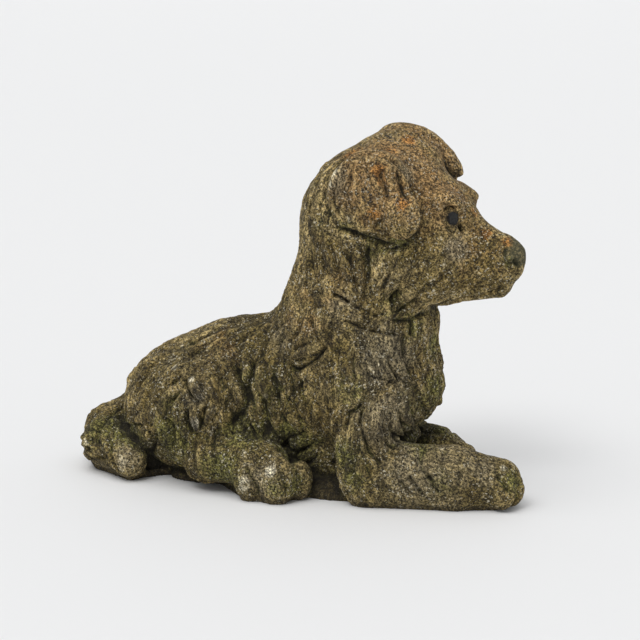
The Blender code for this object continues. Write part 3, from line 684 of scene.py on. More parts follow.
@dataclass
class Coat:
    """How the coat lies, from guides on the right side that the left side mirrors.

    Args:
        figure: The form under the coat.
        guides: Place, direction and length of a lock there; a length of zero is bare.
        reach: Distance over which a guide counts.
        spacing: Distance between roots, as a share of a lock's length.
        width: Half width of a lock, as a share of its length.
        wave: Degrees that a lock swings from side to side.
        wave_step: Part of a wave, in radians, from one step of a lock to the next.
        steps: Places along a lock.
        tries: Number of roots tried.
        shortest: Length below which no lock grows.
        lowest: Height below which no lock grows.
    """

    figure: Figure
    guides: tuple[tuple[Triple, Triple, float, float], ...] = (
        ((-190, -10, 118), (-1.0, -0.1, -0.8), 30, 0.45), ((-120, -10, 155), (-1.0, -0.3, -0.5), 40, 0.40),
        ((-55, -10, 176), (-0.9, -0.3, -0.5), 40, 0.45), ((-60, -55, 140), (-0.4, 0.0, -1.0), 50, 0.80),
        ((-60, -66, 90), (-0.1, 0.0, -1.0), 50, 1.00), ((0, -66, 110), (-0.1, 0.0, -1.0), 48, 1.00),
        ((-130, -60, 125), (-0.7, 0.0, -1.0), 46, 0.60), ((-180, -50, 80), (-0.8, 0.0, -0.9), 42, 0.60),
        ((-128, -82, 80), (-0.3, 0.0, -1.0), 42, 0.75), ((-86, -78, 66), (0.35, 0.0, -1.0), 40, 0.75),
        ((-215, 0, 80), (-1.0, 0.0, -0.8), 34, 0.60), ((-262, 8, 42), (0.1, -1.0, -0.4), 30, 0.65),
        ((-225, -45, 40), (0.9, -0.6, -0.2), 30, 0.65), ((-186, -66, 22), (0.7, -0.5, -0.2), 0, 0.50),
        ((-18, -10, 290), (-0.1, 0.0, -1.0), 48, 0.30), ((-24, -15, 240), (0.1, 0.0, -1.0), 52, 0.35),
        ((-38, -20, 200), (-0.4, 0.0, -1.0), 46, 0.45), ((20, -50, 240), (0.1, 0.0, -1.0), 54, 0.35),
        ((30, -60, 185), (0.05, 0.0, -1.0), 50, 0.40), ((36, -52, 300), (-0.15, 0.0, -1.0), 46, 0.30),
        ((70, -52, 240), (0.15, 0.0, -1.0), 48, 0.35), ((112, -46, 232), (-0.5, 0.0, -0.9), 32, 0.30),
        ((95, -46, 200), (-0.3, 0.0, -1.0), 38, 0.40), ((68, -10, 352), (-1.0, 0.0, 0.1), 0, 0.30),
        ((140, -20, 312), (-0.6, 0.0, 0.8), 0, 0.30), ((185, -18, 250), (-1.0, 0.0, 0.1), 0, 0.30),
        ((90, -66, 300), (0.3, 0.0, -1.0), 0, 0.30), ((60, -74, 130), (0.1, 0.0, -1.0), 52, 0.65),
        ((62, -76, 80), (0.0, 0.0, -1.0), 50, 0.70), ((126, -10, 120), (0.0, 0.0, -1.0), 50, 0.45),
        ((106, -40, 120), (0.1, 0.0, -1.0), 50, 0.50), ((110, -56, 40), (0.9, 0.0, -0.5), 0, 0.30),
        ((190, -40, 35), (1.0, 0.0, -0.2), 0, 0.30), ((-60, -80, 36), (0.8, -0.4, -0.3), 0, 0.40),
        ((64, -76, 36), (0.0, 0.0, -1.0), 42, 0.60), ((-140, -80, 44), (0.1, 0.0, -1.0), 34, 0.75),
        ((-46, -82, 50), (0.8, -0.4, -0.3), 0, 0.30), ((-20, -72, 40), (0.8, -0.4, -0.3), 0, 0.30),
    )
    reach: float = 34.0
    spacing: float = 0.36
    width: float = 0.12
    wave: float = 26.0
    wave_step: float = 0.75
    steps: int = 9
    tries: int = 6000
    shortest: float = 16.0
    lowest: float = 16.0

    def lie(self, points: Array) -> tuple[Array, Array, Array, Array]:
        """How the coat lies at each place.

        Args:
            points: Places on the form.

        Returns:
            Direction along the surface, length of a lock, its share of relief, and
            outward direction.
        """
        side = np.where(points[:, 1:2] > 0.0, -1.0, 1.0)
        folded = points * np.hstack([np.ones_like(side), side, np.ones_like(side)])
        direction = np.zeros_like(points)
        length = np.zeros(len(points))
        relief = np.zeros(len(points))
        total = np.zeros(len(points))
        for place, way, long, share in self.guides:
            weight = np.exp(-((folded - np.array(place)) ** 2).sum(axis=1) / self.reach ** 2) + 1e-12
            direction += weight[:, None] * (np.array(way) / np.linalg.norm(way))
            length += weight * long
            relief += weight * share
            total += weight
        direction[:, 1:2] *= side
        out = self.figure.facing(points)
        direction -= (direction * out).sum(axis=1)[:, None] * out
        direction /= np.maximum(np.linalg.norm(direction, axis=1), 1e-6)[:, None]
        return direction, length / total, relief / total, out

    def locks(self, points: Array, chance: np.random.Generator) -> tuple[Array, Array, Array]:
        """Lay out the locks that cover the coat.

        Args:
            points: Places on the form that roots are chosen from.
            chance: Source of the roots, lengths and waves.

        Returns:
            The path of each lock, its half width and its share of relief.
        """
        spots = points[chance.permutation(len(points))[:self.tries]]
        length, relief = self.lie(spots)[1:3]
        chosen: list[int] = []
        for i in np.nonzero((length > self.shortest) & (spots[:, 2] > self.lowest))[0]:
            apart = ((spots[chosen] - spots[i]) ** 2).sum(axis=1)
            if not chosen or apart.min() > (length[i] * self.spacing) ** 2:
                chosen.append(i)
        length = length[chosen] * chance.uniform(0.75, 1.25, len(chosen))
        phase = chance.uniform(0.0, 2.0 * math.pi, len(chosen))
        path = [spots[chosen]]
        for step in range(self.steps - 1):
            way, _, _, out = self.lie(path[-1])
            swing = math.radians(self.wave) * np.sin(phase + step * self.wave_step)
            way = way * np.cos(swing)[:, None] + np.cross(out, way) * np.sin(swing)[:, None]
            stride = (length / (self.steps - 1))[:, None]
            path.append(self.figure.settle(path[-1] + way * stride, 1))
        half = length * self.width * chance.uniform(0.75, 1.2, len(chosen))
        return np.stack(path, axis=1), half, relief[chosen]


HEAD_STROKES = (
    cut(3.4, 1.2, (396, 158), (399, 176), (403, 192), (413, 203)),
    cut(3.0, 0.45, (352, 170), (350, 186), (354, 202), (362, 218)),
    cut(2.4, 1.1, (379, 168), (381, 180), (385, 190), (386, 202)),
    cut(3.4, 0.4, (402, 146), (405, 158), (409, 170)),
    cut(2.4, 1.2, (333, 228), (345, 230), (356, 234), (368, 239), (382, 244), (400, 244)),
    cut(2.0, 0.9, (380, 252), (395, 248), (410, 243)),
    cut(2.4, 1.0, (331, 176), (324, 192), (325, 207), (332, 219)),
    cut(1.8, 0.7, (338, 178), (332, 194), (334, 208), (340, 216)),
    cut(1.8, 0.8, (375, 230), (378, 224), (383, 220)),
    cut(2.2, 1.7, (458, 213), (460.5, 219), (461.5, 227), (464, 233)),
    cut(1.7, 1.4, (443, 213), (449, 208), (457, 209.5)),
    lock(4.5, 0.5, (438, 204), (446, 201), (455, 202), (463, 208)),
    cut(1.6, 0.7, (446, 226), (450, 231), (457, 232)),
    cut(1.7, 1.0, (454, 301), (467, 298), (482, 296.5), (496, 291.5), (505, 284.5)),
    cut(1.8, 0.8, (506, 247), (505, 256), (508, 266), (514, 273)),
    cut(2.2, 1.3, (514, 259), (517, 264), (521, 266)),
    lock(6.0, 0.6, (462, 296), (476, 293), (490, 289)),
)
NECK_STROKES = (
    lock(7.0, 1.0, (315, 186), (310, 204), (309, 222), (311, 240)),
    lock(7.5, 1.1, (319, 186), (314, 206), (313, 226), (318, 246), (322, 258)),
    lock(7.5, 1.0, (307, 238), (305, 254), (307, 270), (311, 284)),
    lock(7.0, 1.0, (326, 226), (324, 244), (329, 262), (337, 278)),
    lock(7.5, 1.0, (345, 238), (341, 254), (345, 270), (352, 284)),
    lock(7.0, 1.1, (361, 244), (357, 258), (358, 272), (363, 288)),
    lock(7.5, 1.0, (316, 266), (312, 282), (316, 296), (324, 308)),
    lock(7.0, 0.9, (386, 258), (380, 270), (377, 282), (374, 294)),
    lock(6.5, 1.0, (404, 268), (396, 278), (390, 290), (386, 300)),
    lock(7.0, 1.0, (420, 282), (412, 292), (403, 300), (392, 312)),
    lock(6.0, 0.9, (434, 294), (424, 302), (412, 308), (398, 314)),
    cut(2.4, 1.1, (369, 242), (368, 258), (369, 274), (365, 290), (364, 303)),
    cut(2.2, 1.0, (396, 290), (392, 296), (389, 302)),
    cut(2.0, 1.0, (311, 198), (308, 218), (311, 238), (315, 254)),
    cut(2.0, 0.9, (322, 190), (319, 208), (321, 226)),
    cut(1.8, 1.8, (331, 293.5), (341, 298), (350, 304)),
    cut(1.8, 0.8, (350, 304), (364, 311), (380, 317)),
    cut(1.8, 1.0, (337, 319), (351, 323), (364, 328), (384, 333), (402, 335)),
    cut(3.4, 1.3, (412, 318), (414, 326), (412, 338)),
    cut(2.4, 1.1, (390, 319), (402, 321), (416, 317), (432, 310)),
    lock(5.5, 1.0, (394, 317), (384, 320), (375, 323), (367, 330)),
)
CHEST_STROKES = (
    cut(2.4, 1.4, (289, 361), (293, 370), (301, 368), (312, 361), (321, 352), (328, 343)),
    lock(6.5, 1.2, (332, 332), (322, 343), (310, 350), (298, 354), (291, 360)),
    cut(2.2, 1.1, (300, 378), (301, 393), (308, 408)),
    cut(2.0, 1.0, (309, 318), (312, 327), (317, 335), (317, 343)),
    cut(1.9, 0.9, (330, 319), (331, 330), (331, 342)),
    cut(2.0, 0.7, (349, 358), (350, 372)),
    cut(2.4, 1.0, (386, 387), (392, 382), (400, 377)),
    cut(3.0, 1.0, (407, 334), (405, 346), (406, 360)),
    lock(8.0, 1.0, (352, 338), (346, 352), (346, 368), (352, 382)),
    lock(7.5, 0.9, (366, 344), (368, 358), (376, 370), (392, 378)),
    lock(8.0, 1.0, (386, 338), (380, 354), (384, 370), (396, 380)),
    lock(7.5, 1.0, (332, 346), (326, 362), (326, 378), (332, 392)),
    lock(7.0, 0.9, (398, 342), (396, 358), (402, 372), (412, 384)),
    lock(7.0, 1.0, (416, 336), (412, 352), (416, 368), (422, 382)),
    lock(6.5, 1.0, (428, 330), (428, 346), (432, 360), (436, 374)),
    lock(7.0, 1.1, (428, 374), (426, 388), (428, 400), (430, 412)),
    lock(7.5, 1.0, (410, 388), (404, 402), (406, 416), (414, 426)),
    lock(7.0, 0.9, (312, 376), (316, 392), (324, 406), (328, 420)),
    lock(6.5, 0.9, (301, 302), (297, 314), (294, 328), (290, 340)),
    lock(6.5, 0.9, (322, 312), (318, 324), (322, 336), (330, 348)),
)
FORELEG_STROKES = (
    cut(2.4, 1.3, (364, 400), (357, 410), (347, 414), (345, 423), (343, 430)),
    cut(2.8, 1.3, (370, 400), (363, 412), (362, 422), (367, 437), (368, 449), (375, 457), (385, 468)),
    cut(2.2, 1.2, (383, 433), (388, 442), (396, 448)),
    cut(2.0, 0.7, (386, 450), (395, 454), (402, 461)),
    cut(5.0, 1.9, (400, 441), (408, 440), (416, 434), (424, 427), (430, 425)),
    cut(1.8, 0.7, (418, 432), (422, 444), (426, 452)),
    cut(2.4, 1.0, (408, 474), (414, 486), (424, 497)),
    cut(2.2, 0.7, (399, 480), (405, 489), (411, 495)),
    cut(2.4, 0.8, (427, 474), (433, 486), (439, 495)),
    cut(2.2, 0.7, (461, 470), (459, 482), (456, 493)),
    cut(2.4, 1.1, (496, 474), (503, 484), (511, 494)),
    cut(3.2, 0.9, (424, 446), (420, 458), (424, 472), (434, 484)),
    cut(2.6, 0.7, (447, 449), (441, 461), (443, 475)),
    cut(2.0, 0.7, (505, 461), (512, 470), (519, 478), both=False),
    lock(8.0, 1.0, (352, 416), (352, 436), (350, 456), (348, 476)),
    lock(8.0, 0.9, (376, 404), (369, 418), (371, 434), (376, 450)),
    lock(7.0, 0.9, (390, 396), (380, 412), (378, 428), (384, 444)),
    lock(7.0, 0.9, (398, 392), (394, 410), (396, 426), (404, 436)),
    lock(7.0, 0.9, (360, 446), (358, 460), (362, 474), (372, 484)),
)
FLANK_STROKES = (
    cut(2.8, 1.1, (184, 343), (204, 338), (228, 333)),
    cut(2.6, 1.2, (185, 376), (189, 389), (194, 398)),
    cut(2.6, 1.2, (187, 408), (188, 424), (199, 437)),
    cut(2.4, 1.2, (204, 406), (204, 418), (199, 430)),
    cut(2.2, 1.2, (170, 384), (175, 379), (181, 373)),
    cut(2.2, 1.1, (180, 389), (174, 396), (169, 402)),
    cut(2.6, 1.2, (163, 416), (171, 429), (171, 443)),
    cut(2.2, 1.0, (156, 430), (158, 445), (165, 451)),
    cut(2.2, 1.0, (180, 420), (182, 434)),
    cut(2.4, 1.0, (139, 393), (150, 383), (158, 371)),
    cut(2.0, 0.9, (148, 372), (156, 362), (166, 354)),
    cut(4.8, 1.8, (233, 356), (238, 380), (246, 400), (240, 416), (228, 430)),
    cut(3.4, 1.3, (253, 358), (253, 371), (247, 386), (252, 404), (256, 424)),
    cut(4.0, 1.5, (262, 396), (266, 415), (270, 438)),
    cut(2.4, 1.0, (214, 356), (220, 378), (226, 400), (224, 420)),
    cut(2.4, 1.0, (272, 372), (276, 392), (284, 412)),
    lock(6.5, 1.3, (192, 368), (191, 380), (196, 392), (204, 402)),
    lock(6.5, 1.5, (196, 400), (193, 410), (194, 420), (198, 433)),
    lock(6.5, 1.2, (218, 388), (216, 400), (211, 412), (205, 424)),
    lock(5.5, 1.2, (181, 362), (176, 368), (171, 376)),
    lock(7.0, 1.2, (180, 382), (168, 394), (162, 404), (164, 416)),
    lock(6.5, 1.1, (162, 420), (166, 430), (168, 440), (166, 450)),
    lock(7.0, 1.1, (176, 408), (178, 420), (184, 432), (192, 444)),
    lock(7.0, 1.1, (222, 358), (228, 376), (236, 392), (240, 408)),
    lock(7.0, 1.0, (206, 362), (208, 378), (214, 392), (218, 406)),
    lock(7.5, 1.1, (262, 352), (260, 370), (262, 386), (268, 400)),
    lock(7.0, 1.0, (276, 350), (278, 368), (286, 384), (292, 400)),
    lock(7.0, 1.0, (282, 396), (286, 410), (294, 422), (302, 434)),
    lock(6.0, 0.9, (238, 344), (244, 356), (246, 370), (242, 382)),
    lock(7.0, 1.0, (296, 322), (284, 330), (274, 340), (268, 352)),
    lock(7.0, 0.9, (258, 322), (246, 332), (232, 340), (220, 352)),
    lock(7.0, 0.9, (226, 326), (212, 336), (198, 346), (186, 356)),
    lock(7.0, 1.0, (158, 376), (148, 386), (142, 398), (138, 410)),
    lock(6.0, 1.1, (166, 350), (154, 360), (144, 374), (136, 388)),
    lock(6.0, 1.0, (250, 400), (252, 414), (258, 428), (264, 440)),
)
TAIL_STROKES = (
    cut(3.0, 1.4, (146, 420), (153, 433), (153, 447), (150, 460), (142, 474), both=False),
    cut(2.4, 1.1, (124, 425), (138, 426), (148, 434), (151, 445), both=False),
    cut(2.2, 0.8, (117, 438), (128, 436), (139, 442), both=False),
    cut(2.6, 1.2, (112, 440), (109, 452), (113, 464), (120, 474), both=False),
    cut(2.0, 1.3, (81, 438), (87, 449), (96, 457), (107, 461), both=False),
    cut(1.9, 0.8, (126, 388), (109, 401), (96, 415), (88, 430), both=False),
    cut(1.9, 0.9, (136, 396), (118, 408), (105, 421), (97, 436), (98, 448), both=False),
    cut(1.8, 0.7, (134, 408), (120, 417), (110, 429), (105, 440), both=False),
    cut(1.8, 0.7, (146, 404), (136, 414), (124, 421), both=False),
)
HIND_FOOT_STROKES = (
    cut(2.0, 0.8, (245, 465), (250, 476), (256, 487), (259, 498)),
    cut(2.2, 0.9, (281, 470), (284, 480), (287, 489), (288, 497)),
    cut(1.8, 0.6, (296, 470), (300, 477), (302, 486)),
    cut(2.4, 1.3, (278, 451), (286, 445), (298, 445)),
    cut(2.2, 0.9, (222, 448), (234, 441), (248, 437), (262, 438)),
    lock(8.5, 1.3, (318, 428), (308, 438), (296, 444), (281, 449)),
    lock(7.0, 1.0, (320, 441), (313, 451), (303, 457), (290, 460)),
    cut(3.4, 1.5, (333, 432), (334, 448), (335, 466), (342, 485), both=False),
)
STROKES = (HEAD_STROKES + NECK_STROKES + CHEST_STROKES + FORELEG_STROKES + FLANK_STROKES
           + TAIL_STROKES + HIND_FOOT_STROKES)

PATCHES = (
    grown(
        Growth.RUST,
        (378, 171, 10, 1), (383, 182, 8, 0.9), (402, 204, 9, 1), (374, 213, 13, 0.8),
        (352, 152, 13, 0.7), (409, 139, 11, 0.8), (392, 150, 14, 0.5), (360, 176, 12, 0.5),
        (430, 175, 17, 0.35), (426, 203, 8, 0.55), (475, 212, 10, 0.6), (487, 234, 8, 0.8),
        (508, 241, 8, 0.9), (341, 200, 8, 0.4), (315, 210, 8, 0.4), (348, 288, 10, 0.4),
        (286, 410, 12, 0.35), (470, 452, 14, 0.35),
    )
    + grown(
        Growth.PALE,
        (334, 172, 7, 0.8), (331, 186, 7, 0.7), (349, 218, 7, 0.9), (384, 232, 8, 0.8),
        (384, 158, 6, 0.7), (410, 218, 9, 0.6), (445, 264, 6, 0.8), (452, 250, 12, 0.35),
        (407, 296, 9, 0.45), (470, 296, 14, 0.4), (375, 366, 12, 0.6), (303, 250, 9, 0.35),
        (191, 378, 6, 1), (200, 398, 6, 1), (196, 423, 8, 1), (175, 368, 6, 0.9), (181, 345, 5, 0.9),
        (210, 432, 7, 0.8), (213, 409, 7, 0.7), (264, 398, 8, 0.7), (280, 408, 8, 0.5),
        (153, 390, 6, 0.7), (246, 467, 6, 0.8), (242, 484, 11, 0.8), (255, 493, 6, 0.5),
        (269, 471, 9, 0.9), (271, 495, 8, 0.3), (243, 452, 5, 0.9), (122, 462, 11, 0.5),
        (120, 470, 8, 0.5), (86, 442, 7, 0.7), (136, 430, 5, 0.8), (442, 448, 10, 0.6),
        (503, 467, 6, 0.8), (492, 487, 12, 0.4), (385, 470, 12, 0.45),
    )
    + grown(
        Growth.UMBER,
        (400, 165, 60, 0.9), (440, 190, 40, 0.7), (350, 170, 40, 0.8), (470, 240, 28, 0.4),
        (330, 290, 24, 0.3), (300, 320, 28, 0.3), (215, 345, 30, 0.25),
    )
    + grown(
        Growth.MOSS,
        (268, 390, 40, 0.45), (434, 345, 20, 1), (436, 390, 24, 1), (418, 400, 24, 0.6),
        (415, 330, 14, 0.8), (410, 440, 12, 1), (448, 430, 16, 0.8), (344, 455, 18, 1),
        (352, 478, 16, 0.8), (350, 392, 24, 0.7), (372, 250, 18, 0.7), (345, 226, 12, 0.7),
        (398, 246, 14, 0.7), (396, 306, 20, 0.6), (322, 228, 20, 0.4), (510, 262, 9, 0.9),
        (514, 481, 14, 0.9), (440, 484, 14, 0.5), (222, 470, 24, 1), (246, 436, 24, 0.8),
        (292, 440, 22, 0.9), (276, 489, 14, 0.7), (295, 486, 12, 0.8), (170, 436, 26, 0.9),
        (176, 460, 20, 0.7), (100, 424, 26, 0.8), (124, 436, 20, 0.7), (126, 386, 20, 0.7),
        (248, 376, 16, 0.7), (170, 404, 16, 0.6), (190, 345, 20, 0.35),
    )
    + grown(
        Growth.ASH,
        (456, 248, 14, 0.8), (388, 360, 34, 0.8), (392, 420, 34, 0.9), (420, 470, 40, 0.7),
        (405, 172, 14, 0.7), (334, 178, 16, 0.8), (470, 465, 40, 0.5), (280, 340, 18, 0.5),
        (196, 395, 16, 0.5), (262, 480, 24, 0.6), (128, 458, 18, 0.7), (344, 306, 20, 0.5),
    )
    + grown(
        Growth.SOOT,
        (364, 196, 11, 1), (388, 137, 9, 0.9), (384, 212, 7, 0.5), (408, 160, 9, 0.6),
        (360, 264, 14, 0.3), (290, 350, 10, 0.3),
    )
    + grown(
        Growth.DIRT,
        (250, 335, 60, 0.75), (190, 350, 45, 0.55), (310, 335, 50, 0.6), (270, 395, 50, 0.85),
        (185, 440, 44, 0.85), (420, 268, 34, 0.4), (320, 250, 34, 0.3), (150, 380, 34, 0.45),
        (255, 455, 30, 0.6), (282, 480, 22, 0.6), (385, 350, 45, 0.55), (430, 475, 60, 0.45),
        (340, 350, 40, 0.55), (105, 440, 36, 0.45),
    )
)


@dataclass
class Carving:
    """Relief over the form, in grid units, built up stroke by stroke.

    Args:
        points: Places of the vertices on the form.
        out: Outward direction at each.
        lock_height: Height of a lock's tip over the form.
        cut_depth: Depth of a cut under the form.
        strand_depth: Depth of the lines between a lock's strands, as a share of its height.
        strands: Strands across a lock.
        root_width: Width at a lock's root, as a share of its half width.
        belly: What the width gains towards the tip.
        point: Power that draws the tip out.
        point_round: Power that rounds the tip's sides.
        crown_round: Power that rounds a lock's section.
        rim: Distance of the cut round a lock from its middle line, in half widths.
        rim_width: Width of that cut, in half widths.
        rim_depth: Depth of that cut, as a share of the lock's height.
    """

    points: Array
    out: Array
    lock_height: float = 0.0048 / UNIT
    cut_depth: float = 0.0046 / UNIT
    strand_depth: float = 0.42
    strands: float = 4.0
    root_width: float = 0.55
    belly: float = 1.1
    point: float = 2.2
    point_round: float = 0.75
    crown_round: float = 0.8
    rim: float = 1.12
    rim_width: float = 0.28
    rim_depth: float = 0.6
    height: Array = field(init=False)

    def __post_init__(self) -> None:
        """Start with no relief."""
        self.height = np.zeros(len(self.points))

    def near(self, path: Array, width: float) -> tuple[Array, Array, Array]:
        """Find the vertices near a path.

        Args:
            path: Places along the path.
            width: Greatest distance from it.

        Returns:
            Which vertices they are, their distance from the path, below zero on its
            right, and their share of the way along it.
        """
        middle = path[len(path) // 2]
        reach = np.linalg.norm(path - middle, axis=1).max() + width
        square = ((self.points - middle) ** 2).sum(axis=1)
        picked = np.nonzero(square < reach * reach)[0]
        spots, out = self.points[picked], self.out[picked]
        best = np.full(len(picked), np.inf)
        signed = np.zeros(len(picked))
        share = np.zeros(len(picked))
        for i in range(len(path) - 1):
            edge = path[i + 1] - path[i]
            local = spots - path[i]
            along = np.clip(local @ edge / max(edge @ edge, 1e-9), 0.0, 1.0)
            across = local - along[:, None] * edge
            apart = np.linalg.norm(across, axis=1)
            closer = apart < best
            turn = np.sign((np.cross(out[closer], edge) * across[closer]).sum(axis=1))
            best[closer] = apart[closer]
            signed[closer] = apart[closer] * turn
            share[closer] = (i + along[closer]) / (len(path) - 1)
        same_side = out @ self.out[np.argmin(square)] > 0.0
        keep = (best < width) & same_side
        return picked[keep], signed[keep], share[keep]

    def cut(self, path: Array, half_width: float, share_of_depth: float) -> None:
        """Cut a line that is deepest along its middle stretch.

        Args:
            path: Places along the line.
            half_width: Half its width.
            share_of_depth: Its depth as a share of the usual one.
        """
        spots, apart, share = self.near(path, half_width * 3.0)
        ends = smooth(0.0, 0.15, share) * smooth(1.0, 0.85, share)
        fall = ends * np.exp(-(apart / half_width) ** 2)
        self.height[spots] -= self.cut_depth * share_of_depth * fall

    def lock(self, path: Array, half_width: float, share_of_height: float, phase: float = 0.0) -> None:
        """Lay a tongue of hair that rises from its root to a pointed tip, cut round its edge.

        Args:
            path: Places from root to tip.
            half_width: Half its width at its widest.
            share_of_height: Its height as a share of the usual one.
            phase: Sideways shift of its strands, in radians.
        """
        spots, apart, share = self.near(path, half_width * 1.7)
        drawn_in = np.clip(1.0 - share ** self.point, 0.0, 1.0) ** self.point_round
        wide = half_width * (self.root_width + self.belly * share) * drawn_in
        side = apart / np.maximum(wide, 0.4)
        across = np.abs(side)
        rise = smooth(0.0, 0.7, share) * self.lock_height * share_of_height
        crown = rise * np.clip(1.0 - across ** 2, 0.0, 1.0) ** self.crown_round
        turns = side * math.pi * self.strands * 0.5 * (1.1 - 0.3 * share) * 2.0
        ripple = 0.5 - 0.5 * np.cos(turns + phase)
        crown -= rise * self.strand_depth * ripple * smooth(0.05, 0.4, share)
        inside = smooth(1.05, 0.75, across) * smooth(0.0, 0.3, share)
        fall = np.exp(-((across - self.rim) / self.rim_width) ** 2)
        edge = rise * self.rim_depth * fall * (1.0 - inside)
        root = self.height[spots].mean() * (1.0 - smooth(0.2, 0.9, share)) if len(spots) else 0.0
        self.height[spots] = self.height[spots] * (1.0 - inside) + (root + crown) * inside - edge

    def soften(self, edges: Array, rounds: int) -> None:
        """Wear the relief down by averaging it over neighbouring vertices.

        Args:
            edges: Vertex pairs of the mesh.
            rounds: How often.
        """
        self.height = averaged(self.height, edges, rounds)


def averaged(values: Array, edges: Array, rounds: int) -> Array:
    """Average a value over neighbouring vertices.

    Args:
        values: One number, or one row, for each vertex.
        edges: Vertex pairs of the mesh.
        rounds: How often.

    Returns:
        The averaged values.
    """
    first, second = edges[:, 0], edges[:, 1]
    count = len(values)
    shared = np.maximum(np.bincount(first, minlength=count) + np.bincount(second, minlength=count), 1)
    rows = values.reshape(count, -1).astype(float)
    for _ in range(rounds):
        columns = [
            np.bincount(first, row[second], count) + np.bincount(second, row[first], count)
            for row in rows.T
        ]
        rows = 0.5 * rows + 0.5 * np.stack(columns, axis=1) / shared[:, None]
    return rows.reshape(values.shape)


@dataclass
class NodeBench:
    """A material's node tree, with short ways to add the nodes that a finish needs.

    Args:
        tree: The node tree to work on.
    """

    tree: bpy.types.NodeTree

    def node(self, kind: str, **inputs: object) -> bpy.types.Node:
        """Add a node and fill its inputs.

        Args:
            kind: Blender's name for the node type, without ShaderNode.
            inputs: A value or an output socket for each named input.

        Returns:
            The new node.
        """
        node = self.tree.nodes.new("ShaderNode" + kind)
        for name, value in inputs.items():
            self.feed(node.inputs[name], value)
        return node

    def feed(self, socket: Socket, value: object) -> None:
        """Link an output to a socket, or set its value.

        Args:
            socket: The socket to fill.
            value: An output, a number or a colour.
        """
        if isinstance(value, Socket):
            self.tree.links.new(value, socket)
        else:
            socket.default_value = value

    def field(self, name: str) -> Socket:
        """Read a number that the mesh carries at its vertices.

        Args:
            name: Name of the number.

        Returns:
            Its value.
        """
        node = self.node("Attribute")
        node.attribute_name = name
        return node.outputs["Fac"]

    def place(self) -> Socket:
        """Place on the piece, in metres."""
        return self.node("TexCoord").outputs["Object"]

    def noise(self, cloud: Cloud) -> Socket:
        """Cloudy noise of the given size and character, from 0 to 1."""
        return self.clouded(cloud, self.place()).outputs["Fac"]

    def clouded(self, cloud: Cloud, place: Socket) -> bpy.types.Node:
        """Add the node of a cloudy noise.

        Args:
            cloud: Its size and character.
            place: Where it is read.

        Returns:
            The node.
        """
        return self.node("TexNoise", Vector=place, Scale=1.0 / cloud.size, Detail=cloud.detail,
                         Roughness=cloud.rough, Distortion=cloud.warp)

    def drawn_out(self, lines: Cloud, tilt: float, stretch: float, sway: Cloud) -> Socket:
        """Noise drawn out into lines.

        Args:
            lines: Size and character of the lines, across them.
            tilt: Degrees that the lines lean from upright towards the nose.
            stretch: How many times longer than wide they are.
            sway: Clouds that bend the lines, by up to their own size.

        Returns:
            Its value from 0 to 1.
        """
        bent = self.node("VectorMath")
        bent.operation = "MULTIPLY_ADD"
        bend = self.clouded(sway, self.place()).outputs["Color"]
        for index, given in enumerate((bend, (sway.size,) * 3, self.place())):
            self.feed(bent.inputs[index], given)
        turned = self.node("Mapping", Vector=bent.outputs[0], Rotation=(0.0, math.radians(tilt), 0.0),
                           Scale=(1.0, 1.0, stretch))
        turned.vector_type = "TEXTURE"
        return self.clouded(lines, turned.outputs[0]).outputs["Fac"]

    def blend(self, share: object, first: object, second: object) -> Socket:
        """Blend two numbers.

        Args:
            share: How much of the second.
            first: The first number.
            second: The second number.

        Returns:
            The blended number.
        """
        node = self.node("Mix")
        node.data_type = "FLOAT"
        for index, given in ((0, share), (2, first), (3, second)):
            self.feed(node.inputs[index], given)
        return node.outputs[0]

    def cells(self, size: float) -> Socket:
        """Distance to the nearest of many grains, scattered that many metres apart."""
        return self.node("TexVoronoi", Vector=self.place(), Scale=1.0 / size).outputs["Distance"]

    def ramp(self, value: object, step: Ramp) -> Socket:
        """Smooth step of a value between two limits.

        Args:
            value: Socket or number to read.
            step: The limits and the results at them.

        Returns:
            The result.
        """
        node = self.node("MapRange")
        node.interpolation_type = "SMOOTHSTEP"
        for index, given in enumerate((value, step.low, step.high, step.first, step.last)):
            self.feed(node.inputs[index], given)
        return node.outputs[0]

    def math(self, operation: str, first: object, second: object) -> Socket:
        """Work out one number from two.

        Args:
            operation: Blender's name for the operation.
            first: The first number.
            second: The second number.

        Returns:
            The result.
        """
        node = self.node("Math")
        node.operation = operation
        self.feed(node.inputs[0], first)
        self.feed(node.inputs[1], second)
        return node.outputs[0]

    def times(self, first: object, second: object) -> Socket:
        """Product of two numbers."""
        return self.math("MULTIPLY", first, second)

    def plus(self, first: object, second: object) -> Socket:
        """Sum of two numbers."""
        return self.math("ADD", first, second)

    def mix(self, share: object, first: object, second: object, way: str = "MIX") -> Socket:
        """Blend two colours.

        Args:
            share: How much of the second colour.
            first: The colour below.
            second: The colour above.
            way: Blender's name for the blend.

        Returns:
            The blended colour.
        """
        node = self.node("Mix")
        node.data_type = "RGBA"
        node.blend_type = way
        node.clamp_factor = True
        for index, given in ((0, share), (6, first), (7, second)):
            self.feed(node.inputs[index], given)
        return node.outputs[2]

    def toned(self, colour: Socket, tone: Socket) -> Socket:
        """Multiply a colour by a brightness.

        Args:
            colour: The colour.
            tone: The brightness, 1 for no change.

        Returns:
            The lighter or darker colour.
        """
        grey = self.node("CombineColor", Red=tone, Green=tone, Blue=tone).outputs[0]
        return self.mix(1.0, colour, grey, "MULTIPLY")


def shade(red: int, green: int, blue: int) -> Colour:
    """Turn a colour as seen on a screen into the light it stands for.

    Args:
        red: Red from 0 to 255.
        green: Green from 0 to 255.
        blue: Blue from 0 to 255.

    Returns:
        The colour as light, with full cover.
    """
    parts = (part / 255.0 for part in (red, green, blue))
    light = (p / 12.92 if p <= 0.04045 else ((p + 0.055) / 1.055) ** 2.4 for p in parts)
    return (*light, 1.0)


